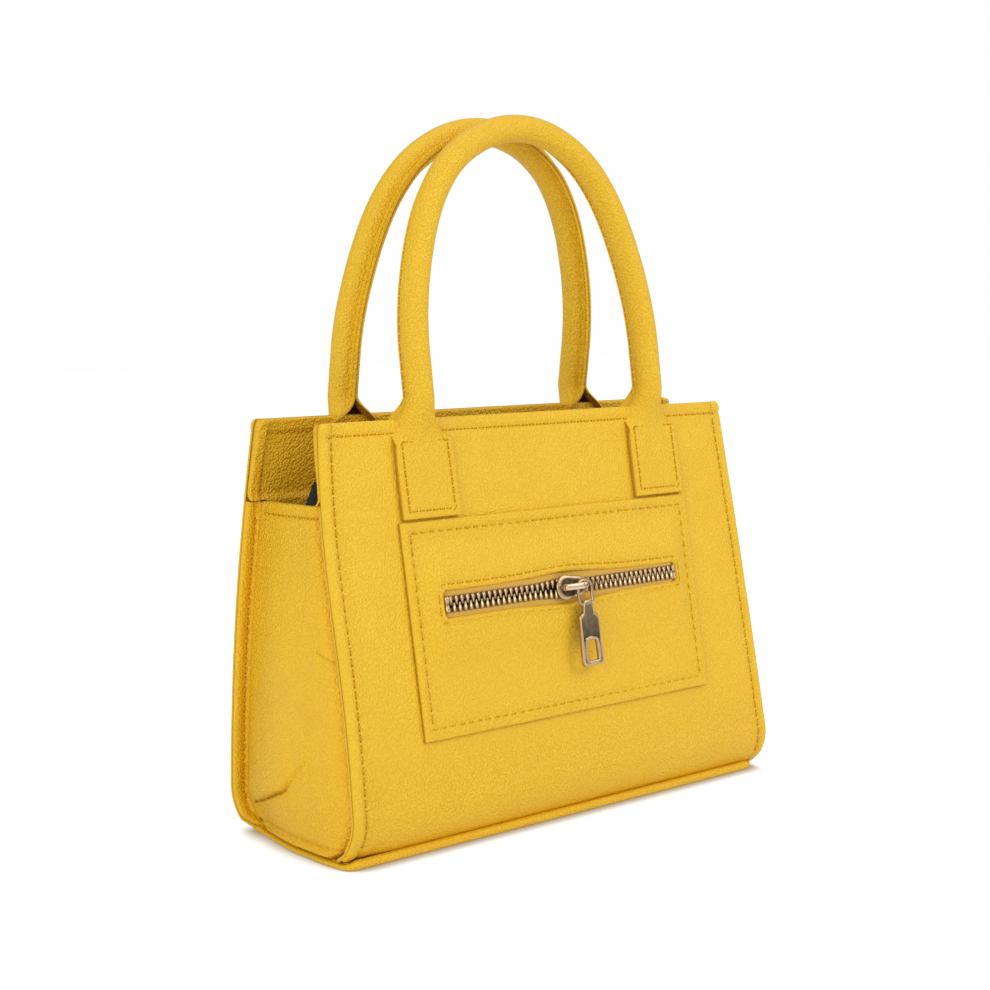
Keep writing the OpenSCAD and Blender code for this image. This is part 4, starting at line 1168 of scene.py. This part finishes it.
# Handles
half, top, low = TAB_W / 2 - TAB_SEAM_IN, HINGE_DROP + TAB_SEAM_IN, TAB_DROP - TAB_SEAM_IN
counts = (30, 30, 30, 30)
tab_x = polyline((-half, -half, half, half, -half), counts)
tab_d = polyline((top, low, low, top, top), counts)
for side, word in ((-1, "front"), (1, "back")):
    strap = handle(side, word + "_handle_strap")
    dress(strap, leather_face)
    z = RIM_Z - HINGE_DROP * math.cos(LEAN)
    (z - 4) * MM
    (z + 4) * MM
    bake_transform(strap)
    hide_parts(word + "_left_tab", word + "_right_tab", word + "_handle_cover")
    for sx, hand in ((-1, "left"), (1, "right")):
        middle = sx * SPAN / 2 + (TAB_SHIFT if side < 0 else BACK_SHIFT)
        sew("%s_%s_tab_stitches" % (word, hand), wall_line(side, tab_x + middle, tab_d, 0.1 - STRAP_T), 3.05)
    add(rope(side, word + "_handle_rope"), rope_mat, "rope", word + "_handle_core", body=word + "_handle")
    for q, face in ((-0.955, "left"), (0.955, "right")):
        sew("%s_handle_%s_fin_stitches" % (word, face), fin_line(side, q), 3.2, word + "_handle")

# CAD nodes that stay in sight
for name in ("snap_socket", "snap_stud"):
    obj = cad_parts[name]
    obj.data.materials.clear()
    obj.data.materials.append(metal_mat)
    bevel = obj.modifiers.new("bevel", "BEVEL")
    bevel.width = 0.00018
    bevel.segments = 2
    bevel.limit_method = "ANGLE"
    bevel.angle_limit = math.radians(35)

# Stage
scene = bpy.context.scene
TARGET = Vector((-0.0065, 0, 0.1132))
AZ, EL, ROLL, DIST = math.radians(-43.24), math.radians(5.11), math.radians(-0.74), 0.7004
camera = bpy.data.objects.new("camera", bpy.data.cameras.new("camera"))
scene.collection.objects.link(camera)
camera.data.lens = 70.2
camera.data.sensor_width = 36
away = Vector((math.sin(AZ) * math.cos(EL), -math.cos(AZ) * math.cos(EL), math.sin(EL)))
turn = away.to_track_quat("Z", "Y").to_matrix() @ Matrix.Rotation(ROLL, 3, "Z")
camera.matrix_world = Matrix.Translation(TARGET + away * DIST) @ turn.to_4x4()
scene.camera = camera

# White floor; where the bag stands on it ambient occlusion mixes in a dim warm emission, a painted contact
# shadow
floor_mesh = bpy.data.meshes.new("floor")
floor_mesh.from_pydata([(-6, -6, 0), (6, -6, 0), (6, 6, 0), (-6, 6, 0)], [], [(0, 1, 2, 3)])
floor = bpy.data.objects.new("floor", floor_mesh)
scene.collection.objects.link(floor)
g = Graph(bpy.data.materials.new("floor"))
plain = g.node("BsdfDiffuse", {"Color": (0.9, 0.9, 0.9, 1)})
faint = g.node("BsdfDiffuse", {"Color": (0.5, 0.5, 0.5, 1)})
glow = g.node("Emission", {"Color": (0.73, 0.73, 0.725, 1)})
# Painted contact shadow: a dim warm emission used close to the bag.
contact_shadow = g.node("Emission", {"Color": (0.42, 0.33, 0.20, 1)})
open_share = g.node("AmbientOcclusion", {"Distance": 0.012}, out=1, samples=16).between(0.3, 0.85)
seen = g.node("MixShader", {0: open_share, 1: contact_shadow, 2: g.node("AddShader", {0: faint, 1: glow})})
by_camera = g.node("LightPath", out="Is Camera Ray")
g.node("OutputMaterial", {"Surface": g.node("MixShader", {0: by_camera, 1: plain, 2: seen})})
floor_mesh.materials.append(g.owner)

# White to the camera, a soft fill for the bag and a dimmer room in its reflections
scene.world = bpy.data.worlds.new("world")
g = Graph(scene.world)
fill, dim, back = (g.node("Background", {"Color": color, "Strength": strength}) for color, strength in (
    ((0.97, 0.98, 1, 1), 0.62), ((0.34, 0.33, 0.32, 1), 1.0), ((1, 1, 1, 1), 0.99)))
glossy = g.node("LightPath", out="Is Glossy Ray")
by_camera = g.node("LightPath", out="Is Camera Ray")
around = g.node("MixShader", {0: glossy, 1: fill, 2: dim})
g.node("OutputWorld", {"Surface": g.node("MixShader", {0: by_camera, 1: around, 2: back})})


def area(name, at, size, power):
    """A soft square light aimed at the bag."""
    data = bpy.data.lights.new(name, "AREA")
    data.size = size
    data.energy = power
    obj = bpy.data.objects.new(name, data)
    obj.location = at
    obj.rotation_euler = (Vector(at) - Vector((0, 0, 0.1))).to_track_quat("Z", "Y").to_euler()
    scene.collection.objects.link(obj)


area("key", (0.75, -1.05, 0.95), 0.9, 8.5)
area("left", (-1.45, -0.55, 0.6), 0.8, 9.0)
area("over", (0.1, 0.2, 1.6), 1.3, 6.5)

scene.view_settings.view_transform = "Standard"
